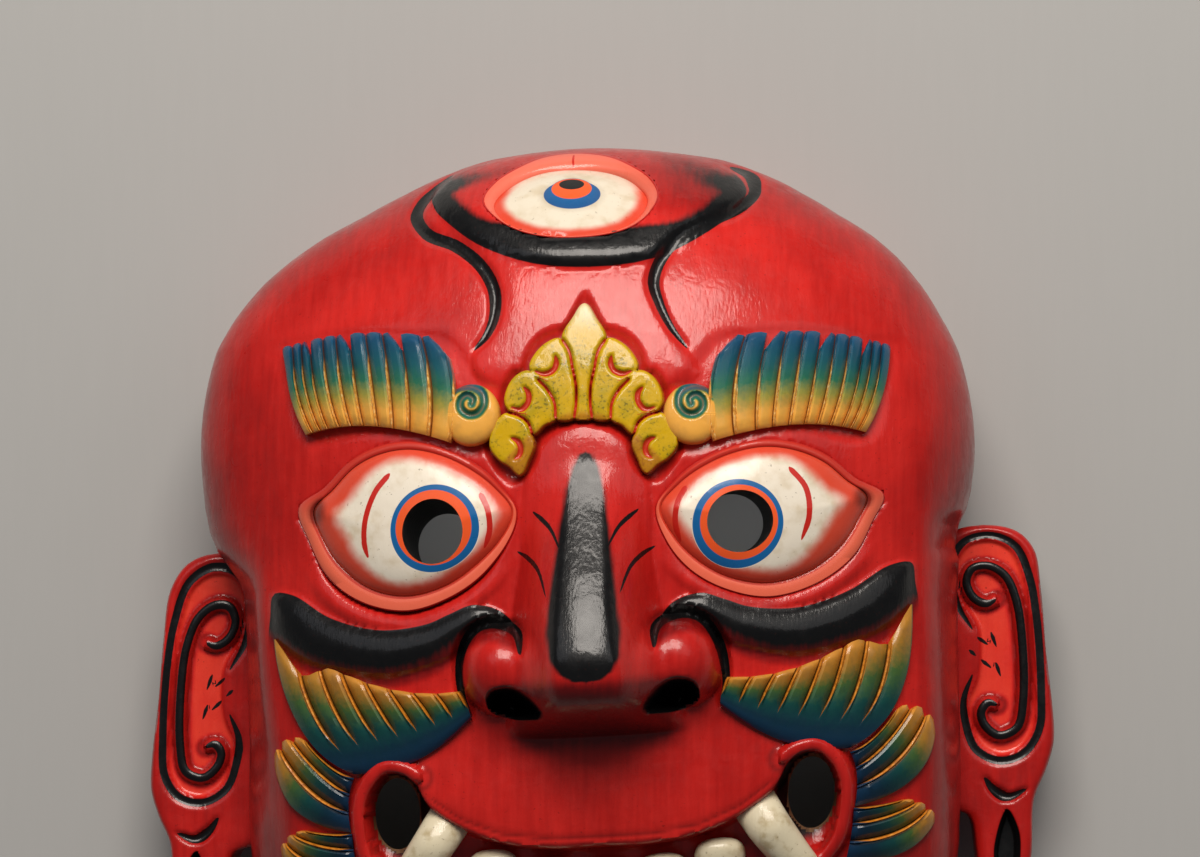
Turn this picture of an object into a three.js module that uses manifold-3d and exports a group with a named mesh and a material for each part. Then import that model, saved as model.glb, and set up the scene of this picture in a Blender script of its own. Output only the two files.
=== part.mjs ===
// A lakhey dance mask of Nepal, carved from one block of wood and hollowed from behind.
// It lies on its flat rim with the face up: +X is the viewer's right, +Y the top of the head,
// +Z the way the face looks. Lengths are millimetres and angles degrees.
import * as THREE from "three";
import { mergeVertices } from "three/addons/utils/BufferGeometryUtils.js";
import Module from "manifold-3d";

const wasm = await Module();
wasm.setup();

// The head's own sizes.
const HEAD_WIDTH = 286;
const HEAD_HEIGHT = 351;
const SIDE_DEPTH = 48;
const FACE_DEPTH = 125;
const WALL = 18;

// What is bored, joined on and raised.
const EYE_HOLE_RADIUS = 11.6;
const MOUTH_HOLE_RADIUS = 7.5;
const BORE_LENGTH = 120;
const MOUTH_DEPTH = 9;
const NOSE_REACH = 40;
const EAR_THICKNESS = 26;
const EAR_BACK = 12;
const BROW_RELIEF = 5.5;
const WHISKER_RELIEF = 5;
const CROWN_RELIEF = 4.5;
const LIP_RELIEF = 8;
const LID_RADIUS = 3.2;
const EYEBALL_RELIEF = 9;
const FANG_RADIUS = 8;
const SINK = 6;

// The carver's drawing of the face. Every place below is laid out on it and then scaled to the head.
const DRAWING = { width: 286, height: 351, widest: 54.5 };
const ACROSS = HEAD_WIDTH / DRAWING.width;
const UPWARD = HEAD_HEIGHT / DRAWING.height;
const HALF = DRAWING.width / 2;
const CROWN_RISE = DRAWING.height / 2 - DRAWING.widest;
const JAW_DROP = DRAWING.height / 2 + DRAWING.widest;
const JAW = { round: 2.6, square: 4, from: 0.35, to: 0.65 };

// The hand carving leans: the lower face tips to one side and drifts across.
const LEAN = { slope: 0.055, from: 75, to: 0 };
const DRIFT = { reach: 4.5, from: 10, to: -60, inner: 118, outer: 138 };

// The real head's outline at each height, against the drawing's oval: how much wider each side is and
// how far the pair sits to the right. The ears stand where it is narrow.
const OUTLINE = {
  from: 0.82,
  middle: 40,
  wide: [
    [176, 0], [171, 5], [166, 2.8], [158, 0.8], [150, 1.2], [142, 4.1], [134, 5.5], [124, 6.3], [100, 6.1],
    [90, 4.8], [80, 3.7], [54, 1.4], [44, 0.3], [36, -1.5], [20, -9], [0, -10], [-40, -9], [-85, -5],
    [-110, 0],
  ],
  shift: [
    [162, 2.4], [148, 1], [134, -1.2], [126, -2.6], [112, -4], [100, -4.4], [30, -4.1], [15, 1], [-90, 1.8],
    [-110, 0],
  ],
};

const SIDES = [-1, 1];
const radians = THREE.MathUtils.degToRad;
const lerp = THREE.MathUtils.lerp;

function ease(value, from, to) {
  const t = Math.min(1, Math.max(0, (value - from) / (to - from)));
  return t * t * (3 - 2 * t);
}

// 0 in the middle of the face, 1 on the head's outline, which is drawn in from its edge by inset.
function headShare(x, y, inset = 0) {
  const up = y - DRAWING.widest;
  const across = Math.abs(x) / (HALF - inset / ACROSS);
  if (up >= 0) return Math.hypot(across, up / (CROWN_RISE - inset / UPWARD));
  const down = -up / (JAW_DROP - inset / UPWARD);
  // The cheeks are square and the chin is round.
  const power = lerp(JAW.round, JAW.square, ease(across / (across + down), JAW.from, JAW.to));
  return (across ** power + down ** power) ** (1 / power);
}

// The bare head's height over the rim.
function headHeight(x, y, inset = 0) {
  const share = Math.min(1, headShare(x, y, inset));
  return SIDE_DEPTH + (FACE_DEPTH - inset - SIDE_DEPTH) * Math.sqrt(1 - share * share);
}

// From the drawing to the real mask, with the lean of hand carving.
function handLaid(x, y) {
  const slope = LEAN.slope * ease(y, LEAN.from, LEAN.to);
  const drift = DRIFT.reach * ease(y, DRIFT.from, DRIFT.to) * ease(Math.abs(x), DRIFT.outer, DRIFT.inner);
  return [(x + drift) * ACROSS, (y + slope * x) * UPWARD];
}

// Reads a table of heights, listed from the top down, and their values.
function valueAt(table, y) {
  const next = table.findIndex(([height]) => height <= y);
  if (next === 0) return table[0][1];
  if (next < 0) return table.at(-1)[1];
  const [[above, high], [below, low]] = [table[next - 1], table[next]];
  return lerp(low, high, (y - below) / (above - below));
}

// Brings the head's edge from the drawing's oval to the real outline. The face in front stays put.
function outlined(x, y, z) {
  const near = ease(headShare(x, y), OUTLINE.from, 1);
  const outward = Math.max(-1, Math.min(1, x / OUTLINE.middle));
  return [x + near * (Math.abs(outward) * valueAt(OUTLINE.shift, y) + outward * valueAt(OUTLINE.wide, y)), y, z];
}

function moved(geometry, place) {
  const position = geometry.getAttribute("position");
  const point = new THREE.Vector3();
  for (let i = 0; i < position.count; i++) {
    point.fromBufferAttribute(position, i);
    position.setXYZ(i, ...place(point.x, point.y, point.z));
  }
  return geometry;
}

function solid(geometry) {
  const bare = new THREE.BufferGeometry();
  bare.setAttribute("position", geometry.getAttribute("position"));
  if (geometry.index) bare.setIndex(geometry.index);
  const merged = mergeVertices(bare, 1e-3);
  const made = new wasm.Manifold(
    new wasm.Mesh({
      numProp: 3,
      vertProperties: new Float32Array(merged.getAttribute("position").array),
      triVerts: new Uint32Array(merged.index.array),
    }),
  );
  if (made.volume() >= 0) return made;
  const flipped = new Uint32Array(merged.index.array);
  for (let i = 0; i < flipped.length; i += 3) {
    [flipped[i + 1], flipped[i + 2]] = [flipped[i + 2], flipped[i + 1]];
  }
  const vertProperties = new Float32Array(merged.getAttribute("position").array);
  return new wasm.Manifold(new wasm.Mesh({ numProp: 3, vertProperties, triVerts: flipped }));
}

// Lays a geometry whose z counts from the head's surface over the head.
function draped(geometry) {
  return moved(geometry, (x, y, z) => [x, y, headHeight(x, y) + z]);
}

// The head as a closed dome with straight sides down to its foot. Inset draws it in for the hollow.
function headDome(around, rings, inset, foot) {
  const quarter = Array.from({ length: rings }, (_, i) => Math.sin((Math.PI / 2) * ((i + 1) / rings)));
  const profile = [0, ...quarter].map((radius) => new THREE.Vector2(radius, 1));
  profile.push(new THREE.Vector2(1, 0), new THREE.Vector2(0, 0));
  const geometry = new THREE.LatheGeometry(profile, around).rotateX(Math.PI / 2);
  return moved(geometry, (x, y, z) => {
    const radius = Math.hypot(x, y);
    const stretch = radius > 0 ? 1 / headShare(x / radius, DRAWING.widest + y / radius, inset) : 0;
    const px = stretch * x;
    const py = DRAWING.widest + stretch * y;
    return [px, py, z > 0.5 ? headHeight(px, py, inset) : foot];
  });
}

// A rounded pad on the head: a flattened ball whose lower half is sunk straight down.
function pad({ x, y, rx, ry, rise, sink = SINK, around = 20, rings = 8 }) {
  const ball = new THREE.SphereGeometry(1, around, rings).rotateX(Math.PI / 2);
  return solid(draped(moved(ball, (bx, by, bz) => [x + rx * bx, y + ry * by, bz * (bz > 0 ? rise : sink)])));
}

function curveThrough(points, closed = false) {
  return new THREE.CatmullRomCurve3(
    points.map(([x, y]) => new THREE.Vector3(x, y, 0)),
    closed,
    "centripetal",
  );
}

// A round roll along an open line on the head. radiusAt gives its half-thickness along the way.
function roll(points, radiusAt, { lift = 0, steps = 14, sides = 8, flat = 1 } = {}) {
  const curve = curveThrough(points);
  const tube = new THREE.CylinderGeometry(1, 1, 1, sides, steps);
  return solid(
    draped(
      moved(tube, (x, y, z) => {
        const t = y + 0.5;
        const middle = curve.getPoint(t);
        const along = curve.getTangent(t);
        const radius = radiusAt(t);
        return [middle.x + along.y * x * radius, middle.y - along.x * x * radius, lift + z * radius * flat];
      }),
    ),
  );
}

// Rounds a roll's two ends.
const roundEnds = (radius, bluntness = 6) => (t) =>
  radius * Math.max(0.15, (1 - Math.abs(2 * t - 1) ** bluntness) ** 0.5);

// A closed roll round an outline, such as an eyelid.
function ringRoll(points, radius, { lift = 0, steps = 16, sides = 4 } = {}) {
  const curve = curveThrough(points, true);
  const ring = new THREE.TorusGeometry(4, 1, sides, steps);
  return solid(
    draped(
      moved(ring, (x, y, z) => {
        const t = (Math.atan2(y, x) / (2 * Math.PI) + 1) % 1;
        const middle = curve.getPoint(t);
        const along = curve.getTangent(t);
        const out = Math.hypot(x, y) - 4;
        return [middle.x + along.y * out * radius, middle.y - along.x * out * radius, lift + z * radius];
      }),
    ),
  );
}

// A raised plate with a drawn outline.
function plate(points, rise, { steps = 22, sink = SINK } = {}) {
  const curve = curveThrough(points, true);
  const rim = curve.getSpacedPoints(steps).slice(0, -1);
  const shape = new THREE.Shape(rim.map((p) => new THREE.Vector2(p.x, p.y)));
  const slab = new THREE.ExtrudeGeometry(shape, { depth: rise + sink, bevelEnabled: false, steps: 1 });
  return solid(draped(slab.translate(0, 0, -sink)));
}

// A sheet through three rows of three places: root, middle and tip, each from its inner end out.
function sheetPoint(rows, u, v) {
  const three = (a, b, c, t) =>
    a.map((_, i) => 2 * a[i] * (t - 0.5) * (t - 1) - 4 * b[i] * t * (t - 1) + 2 * c[i] * t * (t - 0.5));
  const [root, middle, tip] = rows.map((row) => three(...row, u));
  return three(root, middle, tip, v);
}

// Locks of hair side by side on a sheet. Each rises gently to its crest and drops to the next one's root.
function fanOfLocks(rows, count, rise, side, reach = () => 1) {
  const slab = new THREE.BoxGeometry(1, 1, 1, 2 * count, 3, 1);
  return solid(
    draped(
      moved(slab, (bx, by, bz) => {
        const column = Math.round((bx + 0.5) * 2 * count);
        const crest = column % 2;
        const u = (column + crest * LOCK.crestShift) / (2 * count);
        const [x, y] = sheetPoint(rows, u, (by + 0.5) * reach(u) * (crest ? 1 : LOCK.notch));
        const height = rise * (crest ? 1 : LOCK.valley) * (by > 0.4 ? LOCK.tip : 1);
        return [side * x, y, bz > 0 ? height : -SINK];
      }),
    ),
  );
}

// The face's places on the drawing, for the right side. The left side is their mirror image.
const EYE = { hole: [54.4, 32.4], ball: [59, 35], ballReach: [38, 27] };
const EYE_OUTLINE = [
  [103, 40.5], [87, 57], [63, 64.5], [38, 55], [24.5, 39], [36, 15.5], [64, 4.5], [94, 18],
];
const HOLE_TILT = { "-1": { outward: 6, upward: 10 }, 1: { outward: 9, upward: 1 } };

const BROW = {
  rows: [
    [[44.5, 62], [73.7, 68.6], [99, 65.5]],
    [[43, 80], [76.5, 84.4], [105.5, 80.9]],
    [[48, 100], [79.7, 103], [108.5, 98.2]],
  ],
  locks: 11,
  groups: [0, 3, 6, 9, 11],
  notch: 0.14,
  curl: [38, 74.5],
  curlRadius: 9.3,
};

// The relief that locks keep between them and at their tips, how far the valleys stop short of the
// tips, and how far the crest stands over to one side.
const LOCK = { valley: 0.35, tip: 0.75, notch: 0.94, crestShift: 0.6 };

const WHISKERS = [
  {
    rows: [
      [[44.5, -33.5], [66, -48], [89, -51.5]],
      [[45.4, -28], [74.2, -33.2], [109, -31]],
      [[47.6, -23.1], [81.7, -17.6], [114, 2]],
    ],
    locks: 8,
  },
  {
    rows: [
      [[88.5, -52], [91.4, -61.7], [90.5, -73]],
      [[98.6, -46.5], [104.3, -52.6], [112, -64]],
      [[106.9, -37.9], [115.4, -38.2], [122, -45.4]],
    ],
    locks: 3,
  },
  {
    rows: [
      [[90, -73], [89.7, -82], [87, -92.5]],
      [[99.9, -72.5], [104.8, -79.8], [108, -91.5]],
      [[108.8, -71], [116.2, -73.6], [121.5, -80]],
    ],
    locks: 3,
  },
  {
    rows: [
      [[88, -92], [85, -101], [80, -109]],
      [[97, -94], [99, -102.5], [97, -113]],
      [[106, -95], [111.5, -100], [110, -110]],
    ],
    locks: 3,
  },
];

const CROWN = {
  middle: [[0, 111], [6.8, 100], [3.6, 90], [1.6, 78], [3, 71], [-3, 71], [-1.6, 78], [-3.6, 90], [-6.8, 100]],
  sides: [
    [[6.5, 98.5], [12.5, 96.5], [18.4, 89.5], [13, 84], [13.5, 74], [8.5, 69.8], [4.2, 73], [3, 84]],
    [[13, 83.5], [18, 87.5], [23.5, 86], [26, 80.5], [24.5, 75], [19.5, 72], [18.5, 66], [12, 69.5]],
    [[20, 72], [26, 74], [29.5, 69], [31.5, 60.5], [25.5, 55.5], [22.8, 51.5], [18.6, 59.5]],
  ],
};

const BOSS = { x: -3.5, y: 150, rx: 61, ry: 25, rise: 5.5 };
const THIRD_EYE = { x: -7.5, y: 153.5, rx: 30, ry: 16, ball: 4 };

const SCROLL_RIDGES = [
  [[44, 166.5], [57, 159], [52, 148], [33, 137.5], [24, 125], [25, 113], [35.5, 96.5]],
  [[-55, 162], [-64, 150], [-58, 138.5], [-40, 127.5], [-33, 113], [-40, 96]],
];
const SCROLL_RADIUS = 2.6;

const CHEEK_ROLL = [[24, -8], [33, -2.5], [52, -5.5], [75, -9], [98, -5], [114, 8]];

const NOSE = {
  top: 60,
  tip: -17,
  bottom: -42,
  ridge: [4.5, 11],
  base: [17, 34],
  wing: { x: 31, y: -17, rx: 15.5, ry: 16.5, rise: 20 },
  nostril: { x: 28.5, y: -28.5, rx: 9, ry: 6, lift: 14, depth: 13, turn: 114 },
};

const MOUTH = {
  lipEdge: [[0, -81], [26, -80], [50, -73], [62, -64], [68, -55.5]],
  lowerEdge: [[0, -113], [26, -111.5], [50, -106], [66, -99], [76, -89]],
  corner: [85.5, -68],
  ring: [[64, -52.5], [70, -49], [77.5, -49.5], [86, -57], [88.5, -68], [86, -80], [80.5, -90], [70, -99.5]],
  ringRadius: 3.6,
  hole: [75.5, -67],
  holeStretch: 1.5,
};
const UPPER_LIP = [
  [[-46, -40], [0, -44], [46, -40]],
  [[-57, -55], [0, -61], [57, -55]],
  [[-66.5, -57], [0, -93], [66.5, -57]],
];
const TOOTH = { plump: 0.49, rise: 1.5 };
const FANG = [[52, -69], [58.5, -78], [68, -90], [84, -103]];
const TEETH = { upper: 5, lower: 5, reach: 51, bow: 9, gum: 4, bite: 16 };
const CHIN = { x: 0, y: -143, rx: 40, ry: 22, rise: 8 };

// The ears are drawn beside a head of this half-width and move with its side.
const EAR = {
  beside: 143,
  outline: [
    [127, 22], [134, 28], [146, 29.5], [157, 26.5], [163.5, 18], [166, 2], [168, -22], [170.5, -44],
    [170.8, -56], [168, -66], [163, -77], [162.5, -98], [159, -118], [151, -127], [143.5, -117], [142, -96],
    [139, -82], [127, -76],
  ],
  rim: [
    [140.5, -12], [134.5, 0], [134, 13], [140, 22.5], [149, 24.5], [157.5, 19.5], [163, 7], [165.5, -10],
    [166.3, -34], [164.5, -49], [157, -58.5], [147, -58], [139.5, -50], [137, -38], [140.5, -27],
  ],
  scroll: [
    [149, -2], [144.5, -1.5], [141, 3], [142, 9.5], [147.5, 11.5], [153, 8], [157.5, -2], [159.5, -17],
    [159.5, -36], [157.5, -47.5], [151, -51], [145.5, -47], [144.5, -42], [147.5, -40],
  ],
  slot: [[153, -80], [157.5, -92], [154.5, -107], [150, -98], [149, -88]],
  slotDepth: 7,
  ridge: 3,
};

function hollowHead() {
  const outside = solid(headDome(40, 10, 0, 0));
  const inside = solid(headDome(24, 6, WALL, -10));
  return { outside, inside };
}

function brows(side) {
  const groupTip = (u) => {
    const at = u * BROW.locks;
    const group = BROW.groups.findLastIndex((start) => start <= at + 1e-6);
    const start = BROW.groups[Math.min(group, BROW.groups.length - 2)];
    const end = BROW.groups[Math.min(group + 1, BROW.groups.length - 1)];
    return 1 - BROW.notch * (1 - (at - start) / (end - start));
  };
  const [x, y] = BROW.curl;
  const r = BROW.curlRadius;
  return [
    fanOfLocks(BROW.rows, BROW.locks, BROW_RELIEF, side, groupTip),
    pad({ x: side * x, y, rx: r, ry: r, rise: BROW_RELIEF * 1.1, around: 12, rings: 5 }),
  ];
}

function whiskers(side) {
  return WHISKERS.map(({ rows, locks }) => fanOfLocks(rows, locks, WHISKER_RELIEF, side));
}

function crown() {
  const mirrored = (points, side) => points.map(([x, y]) => [side * x, y]);
  return [
    plate(CROWN.middle, CROWN_RELIEF, { steps: 18 }),
    ...SIDES.flatMap((side) =>
      CROWN.sides.map((leaf, i) => {
        const rise = CROWN_RELIEF * (1 - 0.12 * (i + 1));
        return plate(mirrored(leaf, side), rise, { steps: 12 });
      }),
    ),
  ];
}

function eye(side) {
  const [x, y] = EYE.ball;
  const [rx, ry] = EYE.ballReach;
  const outline = EYE_OUTLINE.map(([px, py]) => [side * px, py]);
  return [
    pad({ x: side * x, y, rx, ry, rise: EYEBALL_RELIEF, around: 16, rings: 5 }),
    ringRoll(outline, LID_RADIUS, { lift: 1 }),
  ];
}

function thirdEye() {
  const { x, y, rx, ry, ball } = THIRD_EYE;
  const rim = Array.from({ length: 8 }, (_, i) => {
    const turn = (i * Math.PI) / 4;
    return [x + rx * Math.cos(turn), y + ry * Math.sin(turn)];
  });
  return [
    pad({ ...BOSS, around: 16, rings: 5 }),
    pad({ x, y: y - 1.5, rx: rx * 0.8, ry: ry * 0.8, rise: BOSS.rise + ball, around: 12, rings: 5 }),
    ringRoll(rim, LID_RADIUS * 0.7, { lift: BOSS.rise, steps: 12 }),
  ];
}

function scrollRidges() {
  return SCROLL_RIDGES.map((line) => roll(line, roundEnds(SCROLL_RADIUS), { lift: 0.6, steps: 12, sides: 4 }));
}

// The nose's height over the head at a share of its length, from the brow down to the lip.
function noseRise(y) {
  const down = ease(y, NOSE.top, NOSE.tip);
  const straight = (NOSE.top - y) / (NOSE.top - NOSE.tip);
  const slope = NOSE_REACH * (0.35 * straight + 0.65 * down);
  return y >= NOSE.tip ? slope : NOSE_REACH * Math.sqrt(1 - ease(y, NOSE.tip, NOSE.bottom) ** 2);
}

function nose() {
  const bar = new THREE.BoxGeometry(1, 1, 1, 6, 9, 1);
  const ridge = solid(
    draped(
      moved(bar, (bx, by, bz) => {
        const share = 0.5 - by;
        const y = lerp(NOSE.top, NOSE.bottom, share);
        const flat = lerp(...NOSE.ridge, share);
        const foot = lerp(...NOSE.base, share);
        const across = Math.abs(2 * bx);
        const x = Math.sign(bx) * (across < 0.5 ? flat * across * 2 : lerp(flat, foot, (across - 0.5) * 2));
        const fall = Math.max(0, (across - 0.5) * 2);
        return [x, y, bz > 0 ? noseRise(y) * (1 - fall ** 1.4) : -SINK];
      }),
    ),
  );
  const wings = SIDES.map((side) => pad({ ...NOSE.wing, x: side * NOSE.wing.x, around: 10, rings: 5 }));
  return [ridge, ...wings];
}

function nostrils() {
  const { x, y, rx, ry, lift, depth, turn } = NOSE.nostril;
  return SIDES.map((side) => {
    const bore = new THREE.CylinderGeometry(1, 1, 2 * depth, 10);
    bore.scale(rx, 1, ry).rotateX(radians(turn));
    return solid(draped(bore.translate(side * x, y, lift)));
  });
}

// The upper lip swells between the nose and the mouth.
function upperLip() {
  const slab = new THREE.BoxGeometry(1, 1, 1, 10, 4, 1);
  return solid(
    draped(
      moved(slab, (bx, by, bz) => {
        const [x, y] = sheetPoint(UPPER_LIP, bx + 0.5, 0.5 - by);
        const over = Math.sin(Math.PI * Math.min(1, 0.12 + (0.5 - by) * 0.72));
        const swell = over * (1 - (2 * Math.abs(bx)) ** 4 * 0.6);
        return [x, y, bz > 0 ? LIP_RELIEF * swell : -SINK];
      }),
    ),
  );
}

function mouthOutline() {
  const { lipEdge, lowerEdge, corner } = MOUTH;
  const right = [...lipEdge, [77.5, -53], corner, ...[...lowerEdge].reverse()];
  const left = right.slice(1, -1).reverse().map(([x, y]) => [-x, y]);
  return [...right, ...left];
}

function mouthRecess() {
  const points = curveThrough(mouthOutline(), true).getSpacedPoints(32).slice(0, -1);
  const shape = new THREE.Shape(points.map((p) => new THREE.Vector2(p.x, p.y)));
  const cutter = new THREE.ExtrudeGeometry(shape, { depth: 60, bevelEnabled: false, steps: 1 });
  return solid(draped(cutter.translate(0, 0, -MOUTH_DEPTH)));
}

function mouthHoles() {
  const [x, y] = MOUTH.hole;
  return SIDES.map((side) => {
    const bore = new THREE.CylinderGeometry(MOUTH_HOLE_RADIUS, MOUTH_HOLE_RADIUS, BORE_LENGTH, 10);
    bore.rotateX(Math.PI / 2).scale(1 / ACROSS, MOUTH.holeStretch / UPWARD, 1);
    return solid(bore.translate(side * x, y, headHeight(x, y)));
  });
}

// A row of teeth between two heights, bowed like the lip above it.
function teethRow(count, top, bottom) {
  const { reach, bow } = TEETH;
  const pitch = (2 * reach) / count;
  return Array.from({ length: count }, (_, i) => {
    const x = -reach + pitch * (i + 0.5);
    const y = (top + bottom) / 2 + bow * (x / reach) ** 2;
    const size = { rx: pitch * TOOTH.plump, ry: (top - bottom) * TOOTH.plump, rise: TOOTH.rise };
    return pad({ x, y, ...size, sink: MOUTH_DEPTH + SINK, around: 6, rings: 3 });
  });
}

function mouthParts() {
  const lip = MOUTH.lipEdge[0][1];
  const lower = MOUTH.lowerEdge[0][1];
  const bite = lip - TEETH.bite;
  const lowerLip = MOUTH.lowerEdge.map(([x, y]) => [x, y - 6]);
  const lipLine = [...lowerLip.slice(1).reverse().map(([x, y]) => [-x, y]), ...lowerLip];
  const parts = [
    roll(lipLine, roundEnds(8, 8), { steps: 12, sides: 5, flat: 0.9 }),
    ...teethRow(TEETH.upper, lip + TEETH.gum, bite),
    ...teethRow(TEETH.lower, bite, lower - TEETH.gum),
  ];
  for (const side of SIDES) {
    const mirrored = (points) => points.map(([x, y]) => [side * x, y]);
    parts.push(roll(mirrored(MOUTH.ring), roundEnds(MOUTH.ringRadius, 10), { lift: 2, steps: 9, sides: 4 }));
    parts.push(roll(mirrored(FANG), (t) => FANG_RADIUS * Math.max(0.12, 1 - t ** 2.5), { steps: 5, sides: 5 }));
  }
  return parts;
}

function chin() {
  return pad({ ...CHIN, around: 10, rings: 4 });
}

function cheekRoll(side) {
  return roll(
    CHEEK_ROLL.map(([x, y]) => [side * x, y]),
    (t) => 8.5 * Math.max(0.2, Math.sin(Math.PI * (0.12 + 0.76 * t)) ** 0.6),
    { steps: 8, sides: 6, flat: 0.75 },
  );
}

// An ear is a thick slab on the head's side with a raised rim and scroll.
function ear(side) {
  const outward = HALF - EAR.beside;
  const placed = (points) => points.map(([x, y]) => [side * (x + outward), y]);
  const curve = curveThrough(placed(EAR.outline), true);
  const edge = curve.getSpacedPoints(26).slice(0, -1);
  const shape = new THREE.Shape(edge.map((p) => new THREE.Vector2(p.x, p.y)));
  const slab = new THREE.ExtrudeGeometry(shape, { depth: EAR_THICKNESS, bevelEnabled: false, steps: 1 });
  const front = EAR_BACK + EAR_THICKNESS;
  const ridge = (points, radius, steps) => {
    const line = curveThrough(placed(points));
    const tube = new THREE.CylinderGeometry(1, 1, 1, 4, steps);
    return solid(
      moved(tube, (x, y, z) => {
        const middle = line.getPoint(y + 0.5);
        const along = line.getTangent(y + 0.5);
        return [middle.x + along.y * x * radius, middle.y - along.x * x * radius, front + z * EAR.ridge];
      }),
    );
  };
  const slot = new THREE.Shape(
    curveThrough(placed(EAR.slot), true).getSpacedPoints(12).slice(0, -1)
      .map((p) => new THREE.Vector2(p.x, p.y)),
  );
  const slotCut = new THREE.ExtrudeGeometry(slot, { depth: 20, bevelEnabled: false, steps: 1 });
  return solid(slab.translate(0, 0, EAR_BACK))
    .add(ridge(EAR.rim, 3, 16))
    .add(ridge(EAR.scroll, 2.8, 14))
    .subtract(solid(slotCut.translate(0, 0, front - EAR.slotDepth)));
}

function eyeHoles() {
  const [x, y] = EYE.hole;
  return SIDES.map((side) => {
    const { outward, upward } = HOLE_TILT[side];
    const bore = new THREE.CylinderGeometry(EYE_HOLE_RADIUS, EYE_HOLE_RADIUS, BORE_LENGTH, 18);
    bore.rotateX(Math.PI / 2 - radians(upward)).rotateY(radians(side * outward));
    bore.scale(1 / ACROSS, 1 / UPWARD, 1);
    const surface = headHeight(x, y) + EYEBALL_RELIEF;
    return solid(bore.translate(side * x, y, surface));
  });
}

// Moves a joined body's points and leaves the way they connect.
function bent(made, place) {
  const mesh = made.getMesh();
  for (let i = 0; i < mesh.numVert; i++) {
    const at = i * mesh.numProp;
    mesh.vertProperties.set(place(...mesh.vertProperties.subarray(at, at + 3)), at);
  }
  return new wasm.Manifold(mesh);
}

function carvedMask() {
  const { outside, inside } = hollowHead();
  const joined = (body, parts) => parts.reduce((sum, part) => sum.add(part), body);
  const cut = (body, parts) => parts.reduce((rest, part) => rest.subtract(part), body);
  let mask = joined(outside, [upperLip(), chin(), ...thirdEye(), ...scrollRidges(), ...crown(), ...nose()]);
  mask = joined(mask, SIDES.flatMap((side) => [cheekRoll(side), ...whiskers(side), ...brows(side), ...eye(side)]));
  mask = cut(mask, [mouthRecess(), ...nostrils()]);
  mask = joined(mask, mouthParts());
  mask = cut(mask, [inside, ...mouthHoles(), ...eyeHoles()]);
  return joined(bent(mask, outlined), SIDES.map(ear));
}

function geometryOf(made) {
  const mesh = made.getMesh();
  const places = new Float32Array(mesh.numVert * 3);
  for (let i = 0; i < mesh.numVert; i++) {
    places.set(mesh.vertProperties.subarray(i * mesh.numProp, i * mesh.numProp + 3), i * 3);
  }
  const geometry = new THREE.BufferGeometry();
  geometry.setAttribute("position", new THREE.BufferAttribute(places, 3));
  geometry.setIndex(new THREE.BufferAttribute(new Uint32Array(mesh.triVerts), 1));
  return geometry;
}

// The origin is on the rim's plane, under the middle of the mask's box.
function centred(geometry) {
  geometry.computeBoundingBox();
  const middle = geometry.boundingBox.getCenter(new THREE.Vector3());
  return geometry.translate(-middle.x, -middle.y, 0);
}

const paintedWood = new THREE.MeshStandardMaterial({ color: 0xb3201c, roughness: 0.35, metalness: 0 });
const laid = moved(geometryOf(carvedMask()), (x, y, z) => [...handLaid(x, y), z]);
const mask = new THREE.Mesh(centred(laid), paintedWood);
mask.name = "mask";

const group = new THREE.Group();
group.add(mask);

export default group;
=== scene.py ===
"""A lakhey dance mask of Nepal, carved from one block of wood, painted and varnished.

Every place on it is laid out in the millimetres of the carver's drawing, where the face is even on
both sides, and is then laid over the real mask, which leans a little as hand carving does.
"""
from __future__ import annotations

import logging
import math
from dataclasses import dataclass, field
from enum import Enum
from typing import Callable, Sequence

import bpy
import numpy as np
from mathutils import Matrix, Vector


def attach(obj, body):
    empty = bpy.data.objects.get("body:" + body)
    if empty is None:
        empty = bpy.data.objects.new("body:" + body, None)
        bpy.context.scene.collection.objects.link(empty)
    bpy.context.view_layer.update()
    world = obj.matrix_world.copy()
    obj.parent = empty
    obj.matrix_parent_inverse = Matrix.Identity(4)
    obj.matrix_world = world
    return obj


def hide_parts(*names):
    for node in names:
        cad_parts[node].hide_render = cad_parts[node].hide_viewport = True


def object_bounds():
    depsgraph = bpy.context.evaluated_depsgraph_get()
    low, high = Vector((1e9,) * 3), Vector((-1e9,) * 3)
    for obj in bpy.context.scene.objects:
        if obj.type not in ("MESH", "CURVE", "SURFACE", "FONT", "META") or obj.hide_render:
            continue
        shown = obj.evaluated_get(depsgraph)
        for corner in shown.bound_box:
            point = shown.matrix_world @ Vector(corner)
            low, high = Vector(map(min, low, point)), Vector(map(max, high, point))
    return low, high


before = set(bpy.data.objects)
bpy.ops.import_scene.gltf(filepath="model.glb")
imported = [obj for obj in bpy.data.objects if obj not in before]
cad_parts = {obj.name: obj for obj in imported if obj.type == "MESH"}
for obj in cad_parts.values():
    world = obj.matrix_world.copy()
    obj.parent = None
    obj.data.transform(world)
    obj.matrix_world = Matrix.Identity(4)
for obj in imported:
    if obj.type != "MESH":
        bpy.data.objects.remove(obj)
CAD_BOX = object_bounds()

logging.basicConfig(level=logging.INFO, format="%(message)s")
LOG = logging.getLogger("lakhey_mask")

Pair = tuple[float, float]
Triple = tuple[float, float, float]
Places = Sequence[Pair]
Values = np.ndarray
Tree = bpy.types.NodeTree
Socket = bpy.types.NodeSocket
Material = bpy.types.Material
Colour = str | Socket
Mask = Colour | tuple[Colour, float, float]
# Points closer than this are joined.
WELD_MM = 0.002
# Past this distance from a brush stroke nothing is measured, and how fast its width falls off there.
MARK_REACH_MM = 9.0
MARK_FALL = 12.0
# A painted stroke's edge fades over this much to either side.
STROKE_EDGE_MM = 0.12


class Side(Enum):
    """The two sides of the face, as the viewer sees them."""

    LEFT = -1
    RIGHT = 1


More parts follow.
